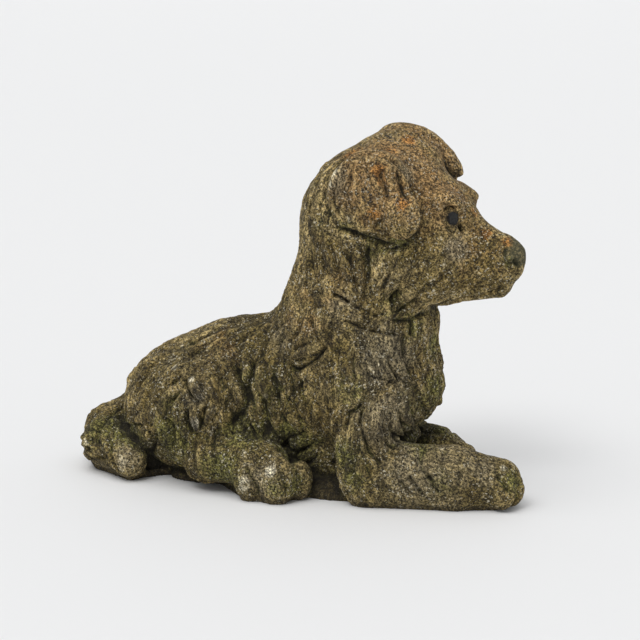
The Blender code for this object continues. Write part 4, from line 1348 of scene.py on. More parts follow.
def fresh_material(name: str) -> tuple[bpy.types.Material, bpy.types.Node]:
    """Make a material.

    Args:
        name: Name of the material.

    Returns:
        The material and its Principled shader.
    """
    material = bpy.data.materials.new(name)
    material.use_nodes = True
    return material, material.node_tree.nodes["Principled BSDF"]


@dataclass(frozen=True)
class WeatheredStone:
    """Cast stone that has stood outdoors: sand, grime, moss and three lichens.

    Each growth is a field of the mesh plus a cloud that breaks its edge, read by a ramp.

    Args:
        sand: Colour of the clean stone.
        clay: Colour of its browner clouds.
        grime: Colour of what has settled on it.
        umber: Colour of its warm stains.
        ash: Colour of its cool stains.
        shade_and_dirt: Near-black colour of the painted shade in the deepest hollows and on the rough
            base, with dirt in the hollows.
        chip: Colour of the pale grains.
        pit: Colour of the small holes.
        moss: Colour of the moss.
        sprout: Colour of its fresh tips.
        rust: Colour of the orange lichen.
        pale: Colour of the whitish lichen.
        soot: Colour of the black lichen.
        eye: Colour of the worn dark eyes.
        nose: Colour of the dark nose.
        rough: Roughness of the stone.
        sheen: Specular level of the stone.
        eye_rough: Roughness of the eyes.
        eye_sheen: Specular level of the eyes.
        bump: Height of the finest relief in metres.
        eye_keep: Share of that relief from beside an eye to on it.
        broad: Clouds of clean and brown stone.
        broad_step: How sharply they meet.
        middle: Clouds of grime.
        middle_step: How sharply and how thickly they lie.
        low_shade: Share of the grime's colour towards the ground, as painted shade.
        stain: Clouds that break the edge of dirt and stains.
        dirt_step: Cover of the dirt.
        warm_step: Cover of the warm stains.
        cool_step: Cover of the cool stains.
        crest_sand: Share of clean stone on the crests.
        hollow_shade_and_dirt: Share of that painted shade and dirt in the hollows.
        base_shade: Share of that near-black colour on the base, as painted shade.
        nose_cover: Share of the nose's colour.
        hair: Hair lines across the coat.
        hair_stretch: How many times longer than wide a hair line is.
        hair_sway: Clouds that bend the hair lines.
        plain: Grain where there is no coat.
        back_tilt: Degrees that the coat of the back leans from upright.
        hair_light_and_shade: Brightness of the hair lines, lighter where their bump stands higher: painted
            light and shade.
        comb_light_and_shade: Brightness of the combed relief, lighter where it stands higher: painted
            light and shade.
        grit: Grains of sand.
        grit_tone: Brightness of the grains.
        chips: Pale grains.
        chip_bands: Clouds that make the pale grains more or fewer.
        chip_share: Weight of those clouds.
        chip_step: Cover of the pale grains.
        pits: Small holes.
        pit_step: Cover of the small holes.
        rust_edge: Clouds that break the orange lichen.
        rust_step: Cover of the orange lichen.
        pale_edge: Clouds that break the whitish lichen.
        pale_step: Cover of the whitish lichen.
        soot_size: Distance between dots of the black lichen in metres.
        soot_dots: Size and edge of a dot.
        soot_step: Cover of the black lichen.
        moss_edge: Clouds that break the moss.
        moss_step: Cover of the moss.
        tips: Clouds of fresh tips.
        tip_step: How sharply fresh tips meet old moss.
        hair_relief: Height of the hair lines as a share of the bump.
        lumps: Clumps of the finest relief.
        lump_relief: Height of the clumps.
        holes: Holes of the finest relief.
        hole_step: Depth of the holes.
        eye_spots: Grains of the eyes.
        eye_step: How sharply the eyes' grains stand out.
    """

    sand: Colour = shade(146, 129, 89)
    clay: Colour = shade(108, 91, 51)
    grime: Colour = shade(67, 58, 28)
    umber: Colour = shade(126, 98, 62)
    ash: Colour = shade(117, 107, 85)
    shade_and_dirt: Colour = shade(26, 22, 16)
    chip: Colour = shade(212, 204, 180)
    pit: Colour = shade(30, 26, 20)
    moss: Colour = shade(70, 69, 33)
    sprout: Colour = shade(112, 109, 58)
    rust: Colour = shade(148, 100, 46)
    pale: Colour = shade(190, 182, 158)
    soot: Colour = shade(34, 33, 32)
    eye: Colour = shade(12, 12, 13)
    nose: Colour = shade(66, 68, 52)
    rough: float = 0.93
    sheen: float = 0.35
    eye_rough: float = 0.30
    eye_sheen: float = 0.3
    bump: float = 0.0011
    eye_keep: Ramp = Ramp(0.3, 0.9, 1.0, 0.15)
    broad: Cloud = Cloud(0.045, 5.0, 0.62, 0.4)
    broad_step: Ramp = Ramp(0.36, 0.64)
    middle: Cloud = Cloud(0.011, 4.0, 0.6)
    middle_step: Ramp = Ramp(0.38, 0.66, 0.0, 0.75)
    low_shade: float = 0.5
    stain: Cloud = Cloud(0.016, 4.0, 0.6, 0.3)
    dirt_step: Ramp = Ramp(0.45, 1.25, 0.0, 0.85)
    warm_step: Ramp = Ramp(0.55, 1.15, 0.0, 0.75)
    cool_step: Ramp = Ramp(0.60, 1.15, 0.0, 0.70)
    crest_sand: float = 0.35
    hollow_shade_and_dirt: float = 0.9
    base_shade: float = 0.82
    nose_cover: float = 0.72
    hair: Cloud = Cloud(0.0021, 3.0, 0.6, 0.35)
    hair_stretch: float = 7.0
    hair_sway: Cloud = Cloud(0.022, 2.0, 0.5)
    plain: Cloud = Cloud(0.00288, 3.0, 0.6)
    back_tilt: float = 60.0
    hair_light_and_shade: Ramp = Ramp(0.37, 0.63, 0.48, 1.52)
    comb_light_and_shade: Ramp = Ramp(0.0, 1.0, 0.58, 1.42)
    grit: Cloud = Cloud(0.00168, 2.0, 0.70, 0.4)
    grit_tone: Ramp = Ramp(0.39, 0.60, 0.28, 1.78)
    chips: Cloud = Cloud(0.00176, 2.0, 0.5, 0.5)
    chip_bands: Cloud = Cloud(0.013, 3.0, 0.65)
    chip_share: float = 0.42
    chip_step: Ramp = Ramp(0.835, 0.925, 0.0, 0.75)
    pits: Cloud = Cloud(0.00224, 2.0, 0.5, 0.9)
    pit_step: Ramp = Ramp(0.32, 0.39, 0.90, 0.0)
    rust_edge: Cloud = Cloud(0.0050, 5.0, 0.75, 0.6)
    rust_step: Ramp = Ramp(0.86, 1.24, 0.0, 0.74)
    pale_edge: Cloud = Cloud(0.0034, 5.0, 0.75, 0.6)
    pale_step: Ramp = Ramp(0.98, 1.40, 0.0, 0.78)
    soot_size: float = 0.0034
    soot_dots: Ramp = Ramp(0.60, 0.36)
    soot_step: Ramp = Ramp(0.30, 0.62, 0.0, 0.85)
    moss_edge: Cloud = Cloud(0.0060, 5.0, 0.72, 0.4)
    moss_step: Ramp = Ramp(0.68, 1.30, 0.0, 0.80)
    tips: Cloud = Cloud(0.0030)
    tip_step: Ramp = Ramp(0.42, 0.66)
    hair_relief: float = 1.1
    lumps: Cloud = Cloud(0.0055, 3.0, 0.6)
    lump_relief: float = 0.8
    holes: Cloud = Cloud(0.00192, 2.0, 0.5, 0.9)
    hole_step: Ramp = Ramp(0.28, 0.38, -0.5, 0.0)
    eye_spots: Cloud = Cloud(0.0016, 3.0, 0.6)
    eye_step: Ramp = Ramp(0.40, 0.66)

    @staticmethod
    def spread(bench: NodeBench, name: str, cloud: Socket, step: Ramp) -> Socket:
        """Cover of a growth: its field plus a cloud, read by a ramp."""
        return bench.ramp(bench.plus(bench.field(name), cloud), step)

    def ground(self, bench: NodeBench) -> Socket:
        """Stone, grime, painted shade low down, dirt and stains under every growth.

        Args:
            bench: The node tree.

        Returns:
            Their colour.
        """
        colour = bench.mix(bench.ramp(bench.noise(self.broad), self.broad_step), self.clay, self.sand)
        colour = bench.mix(bench.ramp(bench.noise(self.middle), self.middle_step), colour, self.grime)
        # painted shade: the colour darkens towards the ground, in the grime's colour
        colour = bench.mix(bench.times(bench.field("low"), self.low_shade), colour, self.grime)
        stain = bench.noise(self.stain)
        for name, step, stained in (
            ("dirt", self.dirt_step, self.grime),
            ("umber", self.warm_step, self.umber),
            ("ash", self.cool_step, self.ash),
        ):
            colour = bench.mix(self.spread(bench, name, stain, step), colour, stained)
        return colour

    def speckled(self, bench: NodeBench, colour: Socket) -> Socket:
        """Hair lines and combed relief toned as painted light and shade, then sand, pale chips and dark
        pits, over a colour.

        Args:
            bench: The node tree.
            colour: What lies under them.

        Returns:
            The speckled colour.
        """
        # painted light and shade: the hair lines and the combed relief are lighter where they stand higher
        # and darker in their grooves
        colour = bench.toned(colour, bench.ramp(self.strands(bench), self.hair_light_and_shade))
        colour = bench.toned(colour, bench.ramp(bench.noise(self.grit), self.grit_tone))
        colour = bench.toned(colour, bench.ramp(bench.field("comb"), self.comb_light_and_shade))
        bands = bench.times(bench.noise(self.chip_bands), self.chip_share)
        chips = bench.ramp(bench.plus(bench.noise(self.chips), bands), self.chip_step)
        colour = bench.mix(chips, colour, self.chip)
        return bench.mix(bench.ramp(bench.noise(self.pits), self.pit_step), colour, self.pit)

    def strands(self, bench: NodeBench) -> Socket:
        """Fine hair lines, drawn out down the coat or back along it, and plain grain between.

        Args:
            bench: The node tree.

        Returns:
            Their value from 0 to 1.
        """
        mixed = bench.noise(self.plain)
        for name, tilt in (("combed_down", 0.0), ("combed_back", self.back_tilt)):
            lines = bench.drawn_out(self.hair, tilt, self.hair_stretch, self.hair_sway)
            mixed = bench.blend(bench.field(name), mixed, lines)
        return mixed

    def grown(self, bench: NodeBench, colour: Socket) -> Socket:
        """Lichens and moss over a colour, each with an edge broken by a cloud.

        Args:
            bench: The node tree.
            colour: What they grow on.

        Returns:
            The overgrown colour.
        """
        rust = self.spread(bench, "rust", bench.noise(self.rust_edge), self.rust_step)
        colour = bench.mix(rust, colour, self.rust)
        pale = self.spread(bench, "pale", bench.noise(self.pale_edge), self.pale_step)
        colour = bench.mix(pale, colour, self.pale)
        dots = bench.ramp(bench.cells(self.soot_size), self.soot_dots)
        soot = bench.ramp(bench.times(bench.field("soot"), dots), self.soot_step)
        colour = bench.mix(soot, colour, self.soot)
        moss = self.spread(bench, "moss", bench.noise(self.moss_edge), self.moss_step)
        fresh = bench.mix(bench.ramp(bench.noise(self.tips), self.tip_step), self.moss, self.sprout)
        return bench.mix(moss, colour, fresh)

    def relief(self, bench: NodeBench) -> Socket:
        """Height of the hair lines, clumps and holes, for the bump.

        Args:
            bench: The node tree.

        Returns:
            The height, in shares of the bump.
        """
        lines = bench.times(self.strands(bench), self.hair_relief)
        lumps = bench.times(bench.noise(self.lumps), self.lump_relief)
        holes = bench.ramp(bench.noise(self.holes), self.hole_step)
        return bench.plus(bench.plus(lines, lumps), holes)

    def worn_eye(self) -> bpy.types.Material:
        """Make the material of the eyes, rubbed smooth and dark, with a little grain.

        Returns:
            A material with one Principled shader.
        """
        material, shader = fresh_material("worn dark eye")
        bench = NodeBench(material.node_tree)
        spots = bench.ramp(bench.noise(self.eye_spots), self.eye_step)
        bench.feed(shader.inputs["Base Color"], bench.mix(spots, self.soot, self.eye))
        shader.inputs["Roughness"].default_value = self.eye_rough
        shader.inputs["Specular IOR Level"].default_value = self.eye_sheen
        return material

    def material(self) -> bpy.types.Material:
        """Make the stone's material.

        Returns:
            A material with one Principled shader.
        """
        material, shader = fresh_material("weathered cast stone")
        bench = NodeBench(material.node_tree)
        crest = bench.times(bench.field("crest"), self.crest_sand)
        colour = self.grown(bench, bench.mix(crest, self.ground(bench), self.sand))
        colour = self.speckled(bench, colour)
        # painted shade: the hollows, the places under cover and the low base take a near-black colour,
        # with dirt in the hollows
        for name, share, cover in (
            ("hollow", self.hollow_shade_and_dirt, self.shade_and_dirt),
            ("base", self.base_shade, self.shade_and_dirt),
            ("nose", self.nose_cover, self.nose),
            ("eye", 1.0, self.eye),
        ):
            colour = bench.mix(bench.times(bench.field(name), share), colour, cover)
        bench.feed(shader.inputs["Base Color"], colour)
        shader.inputs["Roughness"].default_value = self.rough
        shader.inputs["Specular IOR Level"].default_value = self.sheen
        keep = bench.ramp(bench.field("eye"), self.eye_keep)
        bump = bench.node("Bump", Strength=keep, Distance=self.bump, Height=self.relief(bench))
        bench.feed(shader.inputs["Normal"], bump.outputs["Normal"])
        return material


@dataclass(frozen=True)
class Exposure:
    """How the shape of the stone turns into the fields that its finish reads.

    Args:
        near_hollow: Narrow hollows, by their depth.
        wide_hollow: Wide hollows, by their depth.
        near_crest: Narrow crests, by their height.
        wide_crest: Wide crests, by their height.
        low: Nearness to the ground, by height.
        hairy: Cover of the coat, by the length of a lock.
        down: Coat that lies down the side.
        back: Coat that lies along the back.
        upward: Stone that faces up.
        hollow_shade_and_dirt: Painted shade and dirt in the hollows.
        shelter_shade: Painted shade under cover.
        hollow_moss: Moss in the hollows.
        shelter_moss: Moss under cover.
        low_moss: Moss near the ground.
        moss: Moss of the patches.
        rust: Orange lichen of the patches.
        high_rust: Orange lichen on what faces up, by height.
        pale: Whitish lichen of the patches.
        pale_gain: What a crest adds to a patch of it.
        crest_pale: Whitish lichen of the crests.
        upward_pale: Whitish lichen on what faces up.
        comb: Contrast of the combed lines, painted as light and shade.
        eye: Nearness to the middle of an eye.
        nose_radii: Reach of the nose's colour along each axis.
        nose: Nearness to the nose, in shares of that reach.
        bare_base: Painted shade on the base that lies clear of the dog.
        ground: Painted shade along the ground, by height.
    """

    near_hollow: Ramp = Ramp(0.15, 1.5, 0.0, 0.55)
    wide_hollow: Ramp = Ramp(0.4, 3.2, 0.0, 0.75)
    near_crest: Ramp = Ramp(-0.1, -1.2, 0.0, 0.6)
    wide_crest: Ramp = Ramp(-0.4, -2.6, 0.0, 0.6)
    low: Ramp = Ramp(150.0, 20.0)
    hairy: Ramp = Ramp(6.0, 26.0)
    down: Ramp = Ramp(0.75, 0.95)
    back: Ramp = Ramp(0.80, 0.95)
    upward: Ramp = Ramp(-0.2, 0.8)
    hollow_shade_and_dirt: float = 0.8
    shelter_shade: Ramp = Ramp(0.3, 0.85, 0.0, 0.55)
    hollow_moss: float = 0.30
    shelter_moss: Ramp = Ramp(0.15, 0.6, 0.0, 0.30)
    low_moss: float = 0.12
    moss: float = 0.75
    rust: float = 0.8
    high_rust: Ramp = Ramp(200.0, 300.0, 0.0, 0.12)
    pale: float = 0.7
    pale_gain: float = 0.4
    crest_pale: float = 0.16
    upward_pale: float = 0.06
    comb: float = 0.60
    eye: Ramp = Ramp(8.0, 7.3)
    nose_radii: Triple = (14.0, 15.0, 15.0)
    nose: Ramp = Ramp(1.12, 0.9)
    bare_base: Ramp = Ramp(1.2, 4.0)
    ground: Ramp = Ramp(9.0, 3.0, 0.0, 0.7)


@dataclass
class Statue:
    """The carved terrier as one fine mesh.

    Args:
        figure: The form under the carving.
        grain: Random fields of the weather and the hair lines.
        rough_voxel: Size of the first skin's faces, in grid units.
        fine_voxel: Size of the carved skin's faces.
        triangles: Faces of the finished mesh.
        sink: How far the carved skin lies under the form, on average.
        drawn_height: Height of the drawn locks, as a share of a full lock.
        coat_height: Height of the coat's own locks, as a share of a full lock.
        standing: Heights over which the relief fades in from the underside.
        path_places: Places along the path of a drawn stroke.
        hair: Half the length of a combed line of hair.
        hair_steps: Readings along such a line.
        coarse_hair: Distance between the coarse lines.
        fine_hair: Distance between the fine lines.
        fine_reach: Length of a fine line, as a share of a coarse one.
        hair_height: Height of the lines.
        hair_cover: Share of the lines, by the length of a lock.
        swirl_size: Distance over which the lines swirl.
        swirl: Greatest turn of the lines, in radians.
        lumps: Size, height and salt of each wave that wears the surface.
        hole_spacing: Distance between small lost stones.
        holes: Depth of the hole that one leaves, by the distance from its middle.
        spared: Share of the wear, by the distance from an eye.
        near_rounds: Rounds of averaging that find narrow hollows and crests.
        wide_rounds: Rounds that find wide ones.
        shelters: Distances at which cover overhead is looked for, each with its weight.
        far_growth: Strength of the growths on the left side.
        eye_rim: How far past its ball an eye's finish goes.
        flat_below: Height under which a vertex belongs to the flat underside.
        coat_seed: Seed of the heights of the locks.
        exposure: How the form turns into the fields of the finish.
        finish: The stone's finish.
        zero: Where the grid's zero is, in metres, once the statue is placed.
    """

    figure: Figure = field(default_factory=Figure)
    grain: Grain = field(default_factory=Grain)
    rough_voxel: float = 6.0
    fine_voxel: float = 1.5
    triangles: int = 192000
    sink: float = 0.5
    drawn_height: float = 0.80
    coat_height: float = 0.60
    standing: Ramp = Ramp(0.5, 6.0)
    path_places: int = 12
    hair: float = 15.0
    hair_steps: int = 9
    coarse_hair: float = 5.4
    fine_hair: float = 3.7
    fine_reach: float = 0.7
    hair_height: float = 0.27
    hair_cover: Ramp = Ramp(6.0, 30.0, 0.2, 1.0)
    swirl_size: float = 28.0
    swirl: float = 0.95
    lumps: tuple[tuple[float, float, int], ...] = ((14.0, 0.36, 3), (6.5, 0.20, 5), (3.4, 0.16, 9))
    hole_spacing: float = 9.5
    holes: Ramp = Ramp(0.30, 0.14, 0.0, 0.9)
    spared: Ramp = Ramp(9.0, 14.0, 0.12, 1.0)
    near_rounds: int = 6
    wide_rounds: int = 30
    shelters: tuple[Spot, ...] = ((8.0, 0.3), (18.0, 0.35), (40.0, 0.35))
    far_growth: float = 0.75
    eye_rim: float = 0.15
    flat_below: float = 0.9
    coat_seed: int = 11
    exposure: Exposure = Exposure()
    finish: WeatheredStone = WeatheredStone()
    zero: Vector = field(default_factory=Vector)

    @staticmethod
    def read(mesh: bpy.types.Mesh) -> Array:
        """Read the vertex places of a mesh.

        Args:
            mesh: The mesh.

        Returns:
            One place to a row.
        """
        flat = np.empty(len(mesh.vertices) * 3, dtype=np.float32)
        mesh.vertices.foreach_get("co", flat)
        return flat.reshape(-1, 3).astype(float)

    @staticmethod
    def write(mesh: bpy.types.Mesh, points: Array) -> None:
        """Move the vertices of a mesh to the places in an array."""
        mesh.vertices.foreach_set("co", points.astype(np.float32).ravel())
        mesh.update()

    @staticmethod
    def edges(mesh: bpy.types.Mesh) -> Array:
        """Read the vertex pairs of a mesh.

        Args:
            mesh: The mesh.

        Returns:
            One edge to a row.
        """
        flat = np.empty(len(mesh.edges) * 2, dtype=np.int32)
        mesh.edges.foreach_get("vertices", flat)
        return flat.reshape(-1, 2)

    @staticmethod
    def apply(piece: bpy.types.Object) -> None:
        """Keep the evaluated mesh and drop the modifiers.

        Args:
            piece: The piece whose modifiers are kept as its mesh.
        """
        graph = bpy.context.evaluated_depsgraph_get()
        result = bpy.data.meshes.new_from_object(piece.evaluated_get(graph))
        former = piece.data
        piece.modifiers.clear()
        piece.data = result
        bpy.data.meshes.remove(former)

    def skin(self, piece: bpy.types.Object, voxel: float) -> None:
        """Replace the mesh by one even skin.

        Args:
            piece: The piece to skin.
            voxel: Size of the skin's faces.
        """
        modifier = piece.modifiers.new("Even skin", "REMESH")
        modifier.mode = "VOXEL"
        modifier.voxel_size = voxel
        self.apply(piece)

    def thin_out(self, piece: bpy.types.Object) -> None:
        """Bring the mesh down to its finished number of triangles.

        Args:
            piece: The piece with too many faces.
        """
        modifier = piece.modifiers.new("Fewer faces", "DECIMATE")
        modifier.ratio = self.triangles / (2.0 * len(piece.data.polygons))
        modifier.use_collapse_triangulate = True
        self.apply(piece)

    def drawn(self, drawing: Drawing) -> Iterator[tuple[Stroke, Array]]:
        """Go through the drawn strokes, each on the right side and again on the left.

        Args:
            drawing: The view that they are drawn on.

        Yields:
            A stroke and its path on the form.
        """
        places = drawing.thrown([spot for stroke in STROKES for spot in stroke.points])
        start = 0
        for stroke in STROKES:
            path = resampled(places[start:start + len(stroke.points)], self.path_places)
            start += len(stroke.points)
            yield stroke, path
            if stroke.both:
                yield stroke, drawing.mirrored(path)

    def carve(self, points: Array, edges: Array, roots: Array) -> Array:
        """Carve the coat, the drawn strokes and the weather into the form.

        Args:
            points: Places of the vertices on the form.
            edges: Vertex pairs of the mesh.
            roots: Places on the form that a lock may grow from.

        Returns:
            The carved places.
        """
        carving = Carving(points, self.figure.facing(points))
        chance = np.random.default_rng(self.coat_seed)
        paths, widths, reliefs = Coat(self.figure).locks(roots, chance)
        log.info("coat: %d locks", len(paths))
        for i in np.argsort(paths[:, 0, 2]):
            share = reliefs[i] * self.coat_height * chance.uniform(0.6, 1.15)
            carving.lock(paths[i], widths[i], share, float(i))
        for stroke, path in self.drawn(Drawing(self.figure)):
            if stroke.kind is StrokeKind.LOCK:
                carving.lock(path, stroke.width, stroke.share * self.drawn_height)
            else:
                carving.cut(path, stroke.width, stroke.share)
        carving.soften(edges, 1)
        height = carving.height - self.sink + self.weather(points) + self.combing(points, carving.out)
        return points + carving.out * (height * self.standing.of(points[:, 2]))[:, None]

    def combing(self, points: Array, out: Array) -> Array:
        """Lines of hair along the lie of the coat, in grid units.

        Args:
            points: Places on the form.
            out: Outward direction at each.

        Returns:
            Height of the lines at each place.
        """
        way, length = Coat(self.figure).lie(points)[:2]
        swirl = self.grain.waves(points, self.swirl_size, 31)[:, None] * self.swirl
        way = way * np.cos(swirl) + np.cross(out, way) * np.sin(swirl)
        coarse = np.zeros(len(points))
        fine = np.zeros(len(points))
        for reach in np.linspace(-self.hair, self.hair, self.hair_steps):
            coarse += self.grain.waves(points + way * reach, self.coarse_hair, 41)
            fine += self.grain.waves(points + way * reach * self.fine_reach, self.fine_hair, 43)
        return self.hair_cover.of(length) * (self.hair_height * coarse + self.hair_height * fine)

    def weather(self, points: Array) -> Array:
        """Wear of the surface: lumps, grit and small lost stones.

        Args:
            points: Places on the form.

        Returns:
            Height in grid units, least beside the eyes.
        """
        worn = sum(height * self.grain.waves(points, size, salt) for size, height, salt in self.lumps)
        holes = self.holes.of(self.grain.pits(points, self.hole_spacing, 21))
        return (worn - holes) * self.spared.of(self.eye_distance(points))

    def eye_distance(self, points: Array) -> Array:
        """Distance of each place from the middle of the nearer eye."""
        apart = [np.linalg.norm(points - np.array(eye.centre), axis=1) for eye in self.figure.eyes]
        return np.minimum(*apart)

    def patches(self, points: Array) -> dict[Growth, Array]:
        """How thick each growth is at each place, before noise breaks its edge.

        Args:
            points: Places on the statue in grid units.

        Returns:
            Thickness for each growth, from 0 up to about 1.
        """
        drawing = Drawing(self.figure)
        spots = drawing.thrown([patch.place for patch in PATCHES])
        cover = {growth: np.zeros(len(points)) for growth in Growth}
        for patch, spot in zip(PATCHES, spots):
            for side, strength in ((1.0, 1.0), (-1.0, self.far_growth)):
                square = ((points - spot * np.array((1.0, side, 1.0))) ** 2).sum(axis=1)
                thick = patch.strength * strength * np.exp(-square / patch.radius ** 2)
                cover[patch.growth] = np.maximum(cover[patch.growth], thick)
        return cover

    def shelter(self, points: Array, out: Array) -> Array:
        """How much of the figure stands over each place.

        Args:
            points: Places on the statue.
            out: Outward direction at each.

        Returns:
            Cover from 0 to 1.
        """
        total = np.zeros(len(points))
        for reach, weight in self.shelters:
            open_way = self.figure.distance(points + out * reach) / reach
            total += weight * np.clip(1.0 - open_way, 0.0, 1.0)
        return total

    def fields(self, mesh: bpy.types.Mesh) -> dict[str, Array]:
        """Work out what the finish reads at each vertex.

        Args:
            mesh: The carved mesh, in grid units.

        Returns:
            Values from 0 to 1 by name.
        """
        seen = self.exposure
        points, edges = self.read(mesh), self.edges(mesh)
        normals = np.empty(len(points) * 3, dtype=np.float32)
        mesh.vertices.foreach_get("normal", normals)
        normals = normals.reshape(-1, 3)
        near = ((averaged(points, edges, self.near_rounds) - points) * normals).sum(axis=1)
        wide = ((averaged(points, edges, self.wide_rounds) - points) * normals).sum(axis=1)
        hollow = np.clip(seen.near_hollow.of(near) + seen.wide_hollow.of(wide), 0.0, 1.0)
        crest = np.clip(seen.near_crest.of(near) + seen.wide_crest.of(wide), 0.0, 1.0)
        facing = self.figure.facing(points)
        shelter = self.shelter(points, facing)
        way, length = Coat(self.figure).lie(points)[:2]
        hairy = seen.hairy.of(length)
        tilt = math.radians(self.finish.back_tilt)
        back = np.abs(way @ np.array((math.sin(tilt), 0.0, math.cos(tilt))))
        height = points[:, 2]
        low = seen.low.of(height)
        cover = self.patches(points)
        damp = seen.hollow_moss * hollow + seen.shelter_moss.of(shelter) + seen.low_moss * low
        rise = seen.upward.of(normals[:, 2])
        nose = np.linalg.norm((points - np.array(self.figure.nose.centre)) / seen.nose_radii, axis=1)
        whitish = cover[Growth.PALE] * (seen.pale + seen.pale_gain * crest)
        clear = seen.bare_base.of(self.figure.distance(points, based=False))
        return {
            # painted shade in the hollows and under cover, with dirt in the hollows
            "hollow": np.clip(hollow * seen.hollow_shade_and_dirt + seen.shelter_shade.of(shelter), 0.0, 1.0),
            "crest": crest,
            "low": low,
            "moss": cover[Growth.MOSS] * seen.moss + damp,
            "rust": cover[Growth.RUST] * seen.rust + rise * seen.high_rust.of(height),
            "pale": whitish + seen.crest_pale * crest + seen.upward_pale * rise,
            **{kind.value: cover[kind] for kind in (Growth.SOOT, Growth.UMBER, Growth.ASH, Growth.DIRT)},
            # painted light and shade of the combed relief
            "comb": np.clip(0.5 + seen.comb * self.combing(points, facing), 0.0, 1.0),
            "combed_down": hairy * seen.down.of(np.abs(way[:, 2])),
            "combed_back": hairy * seen.back.of(back),
            "eye": seen.eye.of(self.eye_distance(points)),
            "nose": seen.nose.of(nose),
            # painted shade on the bare base and along the ground
            "base": np.maximum(clear, seen.ground.of(height)),
        }

    def build(self) -> bpy.types.Object:
        """Make the statue where its solid stands.

        Returns:
            The piece, in metres.
        """
        mesh = bpy.data.meshes.new("terrier_stone")
        self.figure.draft(mesh)
        piece = bpy.data.objects.new("terrier_stone", mesh)
        bpy.context.scene.collection.objects.link(piece)
        self.skin(piece, self.rough_voxel)
        roots = self.figure.settle(self.read(piece.data))
        self.write(piece.data, roots)
        self.skin(piece, self.fine_voxel)
        points = self.figure.settle(self.read(piece.data))
        self.write(piece.data, self.carve(points, self.edges(piece.data), roots))
        log.info("carved skin: %d faces", len(piece.data.polygons))
        self.thin_out(piece)
        self.settle_underside(piece.data)
        for name, values in self.fields(piece.data).items():
            carried = piece.data.attributes.new(name, "FLOAT", "POINT")
            carried.data.foreach_set("value", values.astype(np.float32))
        self.place(piece)
        piece.data.shade_smooth()
        return piece

    def settle_underside(self, mesh: bpy.types.Mesh) -> None:
        """Lay the lowest vertices dead flat.

        Args:
            mesh: The carved mesh, in grid units.
        """
        points = self.read(mesh)
        points[points[:, 2] < self.flat_below, 2] = 0.0
        self.write(mesh, points)

    def place(self, piece: bpy.types.Object) -> None:
        """Scale the grid to metres, where the solid's box is.

        Args:
            piece: The statue in grid units.
        """
        low, high = (np.array(corner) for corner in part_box("terrier"))
        points = self.read(piece.data) * UNIT
        shift = 0.5 * (low + high) - 0.5 * (points.min(axis=0) + points.max(axis=0))
        shift[2] = low[2] - points[:, 2].min()
        self.write(piece.data, points + shift)
        self.zero = Vector(shift)

    def dress(self, piece: bpy.types.Object) -> None:
        """Give the piece its finish, hang it on the root body and hide the solid's terrier part.

        Args:
            piece: The statue in metres.
        """
        piece.data.materials.clear()
        piece.data.materials.append(self.finish.material())
        piece.data.materials.append(self.finish.worn_eye())
        points = (self.read(piece.data) - np.array(self.zero)) / UNIT
        in_eye = self.eye_distance(points) < self.figure.eyes[0].radii[0] + self.eye_rim
        for face in piece.data.polygons:
            if in_eye[list(face.vertices)].all():
                face.material_index = 1
        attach(piece, "root")
        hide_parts("terrier")


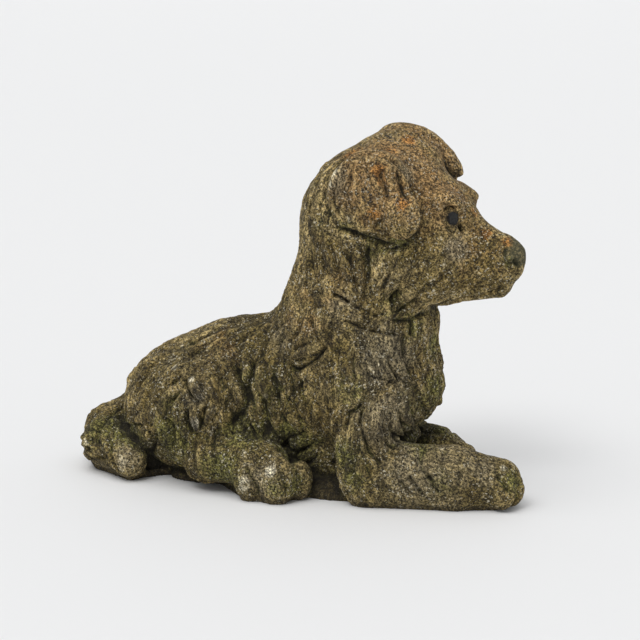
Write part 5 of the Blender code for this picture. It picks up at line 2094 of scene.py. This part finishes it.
@dataclass
class Studio:
    """Pale sweep, soft lamps and the camera.

    Args:
        radius: Radius of the flat floor in metres.
        bend: Radius of the bend where the floor turns up into its rim.
        rim: Height of the rim over the bend.
        floor_colour: Paint of the sweep.
        floor_rough: Roughness of the paint.
        floor_sheen: Specular level of the paint.
        sky: Colour of the light from all round.
        sky_power: Strength of that light.
        key_power: Strength of the wide soft light from above.
        key_place: Where it stands as seen from the statue.
        key_spread: Width of it as seen from the statue, in degrees.
        key_colour: Colour of it.
        spark_power: Strength of the smaller light that sharpens the relief.
        spark_place: Where it stands as seen from the statue.
        spark_spread: Width of it, in degrees.
        spark_colour: Colour of it.
        bend_steps: Faces up the bend.
        turn_steps: Faces round the sweep.
        film: Width of the camera's film in millimetres.
        far: Distance to which the camera sees, in metres.
    """

    radius: float = 9.0
    bend: float = 1.4
    rim: float = 1.2
    floor_colour: Colour = (0.82, 0.823, 0.83, 1.0)
    floor_rough: float = 0.7
    floor_sheen: float = 0.2
    sky: Colour = (0.97, 0.985, 1.0, 1.0)
    sky_power: float = 0.56
    key_power: float = 1.34
    key_place: Triple = (-0.35, -1.0, 2.6)
    key_spread: float = 56.0
    key_colour: Triple = (1.0, 0.985, 0.96)
    spark_power: float = 0.50
    spark_place: Triple = (-0.07, -0.62, 0.78)
    spark_spread: float = 18.0
    spark_colour: Triple = (1.0, 1.0, 1.0)
    bend_steps: int = 12
    turn_steps: int = 96
    film: float = 36.0
    far: float = 50.0

    def sweep(self) -> bpy.types.Object:
        """Make the floor, a shallow bowl that hides the horizon.

        Returns:
            The floor.
        """
        profile = [(0.0, 0.0), (self.radius * 0.5, 0.0)]
        for i in range(self.bend_steps + 1):
            angle = i / self.bend_steps * math.pi / 2
            profile.append((self.radius + self.bend * math.sin(angle), self.bend * (1 - math.cos(angle))))
        profile.append((self.radius + self.bend, self.bend + self.rim))
        mesh = bpy.data.meshes.new("studio_floor")
        builder = bmesh.new()
        line = [builder.verts.new((x, 0.0, z)) for x, z in profile]
        joints = [builder.edges.new(pair) for pair in zip(line, line[1:])]
        bmesh.ops.spin(builder, geom=line + joints, cent=(0, 0, 0), axis=(0, 0, 1),
                       angle=2 * math.pi, steps=self.turn_steps, use_merge=True)
        bmesh.ops.remove_doubles(builder, verts=builder.verts, dist=1e-5)
        builder.to_mesh(mesh)
        builder.free()
        mesh.shade_smooth()
        floor = bpy.data.objects.new("studio_floor", mesh)
        bpy.context.scene.collection.objects.link(floor)
        material, shader = fresh_material("pale floor")
        shader.inputs["Base Color"].default_value = self.floor_colour
        shader.inputs["Roughness"].default_value = self.floor_rough
        shader.inputs["Specular IOR Level"].default_value = self.floor_sheen
        mesh.materials.append(material)
        return floor

    @staticmethod
    def lamp(name: str, place: Triple, spread: float, power: float, colour: Triple) -> None:
        """Hang one wide soft light that faces the statue from far off.

        Args:
            name: Name of the light.
            place: Where it stands as seen from the statue.
            spread: Width of the light as seen from the statue, in degrees.
            power: Strength of its light.
            colour: Colour of its light.
        """
        light = bpy.data.lights.new(name, "SUN")
        light.angle = math.radians(spread)
        light.energy = power
        light.color = colour
        lamp = bpy.data.objects.new(name, light)
        lamp.location = place
        lamp.rotation_euler = (-Vector(place)).to_track_quat("-Z", "Y").to_euler()
        bpy.context.scene.collection.objects.link(lamp)

    def light(self) -> None:
        """Hang the lights and set the light from all round.

        The view shows light as it is, so that the pale floor stays pale.
        """
        self.lamp("overhead", self.key_place, self.key_spread, self.key_power, self.key_colour)
        self.lamp("spark", self.spark_place, self.spark_spread, self.spark_power, self.spark_colour)
        world = bpy.data.worlds.new("studio")
        world.use_nodes = True
        background = world.node_tree.nodes["Background"]
        background.inputs["Color"].default_value = self.sky
        background.inputs["Strength"].default_value = self.sky_power
        bpy.context.scene.world = world
        bpy.context.scene.view_settings.view_transform = "Standard"

    def camera(self, drawing: Drawing, zero: Vector) -> bpy.types.Object:
        """Stand the camera where the drawing's eye is.

        Args:
            drawing: The view that the camera takes.
            zero: Where the grid's own zero is, in metres.

        Returns:
            The camera.
        """
        data = bpy.data.cameras.new("camera")
        data.sensor_width = self.film
        data.lens = data.sensor_width * drawing.reach / (2.0 * drawing.middle[0])
        data.clip_end = self.far
        camera = bpy.data.objects.new("camera", data)
        look = Vector(drawing.look())
        camera.location = Vector(drawing.target) * UNIT + zero - look * drawing.reach * UNIT
        camera.rotation_euler = look.to_track_quat("-Z", "Y").to_euler()
        bpy.context.scene.collection.objects.link(camera)
        bpy.context.scene.camera = camera
        return camera


def main() -> None:
    """Build the statue and its studio, and report each piece.

    The camera stands where the eye of the carver's drawing is.
    """
    logging.basicConfig(level=logging.INFO, format="%(name)s: %(message)s")
    statue = Statue()
    piece = statue.build()
    statue.dress(piece)
    log.info("%s: %d triangles", piece.name, len(piece.data.polygons))
    studio = Studio()
    floor = studio.sweep()
    log.info("%s: %d faces", floor.name, len(floor.data.polygons))
    studio.light()
    camera = studio.camera(Drawing(statue.figure), statue.zero)
    log.info("%s at %s", camera.name, tuple(round(v, 3) for v in camera.location))


if __name__ == "__main__":
    main()
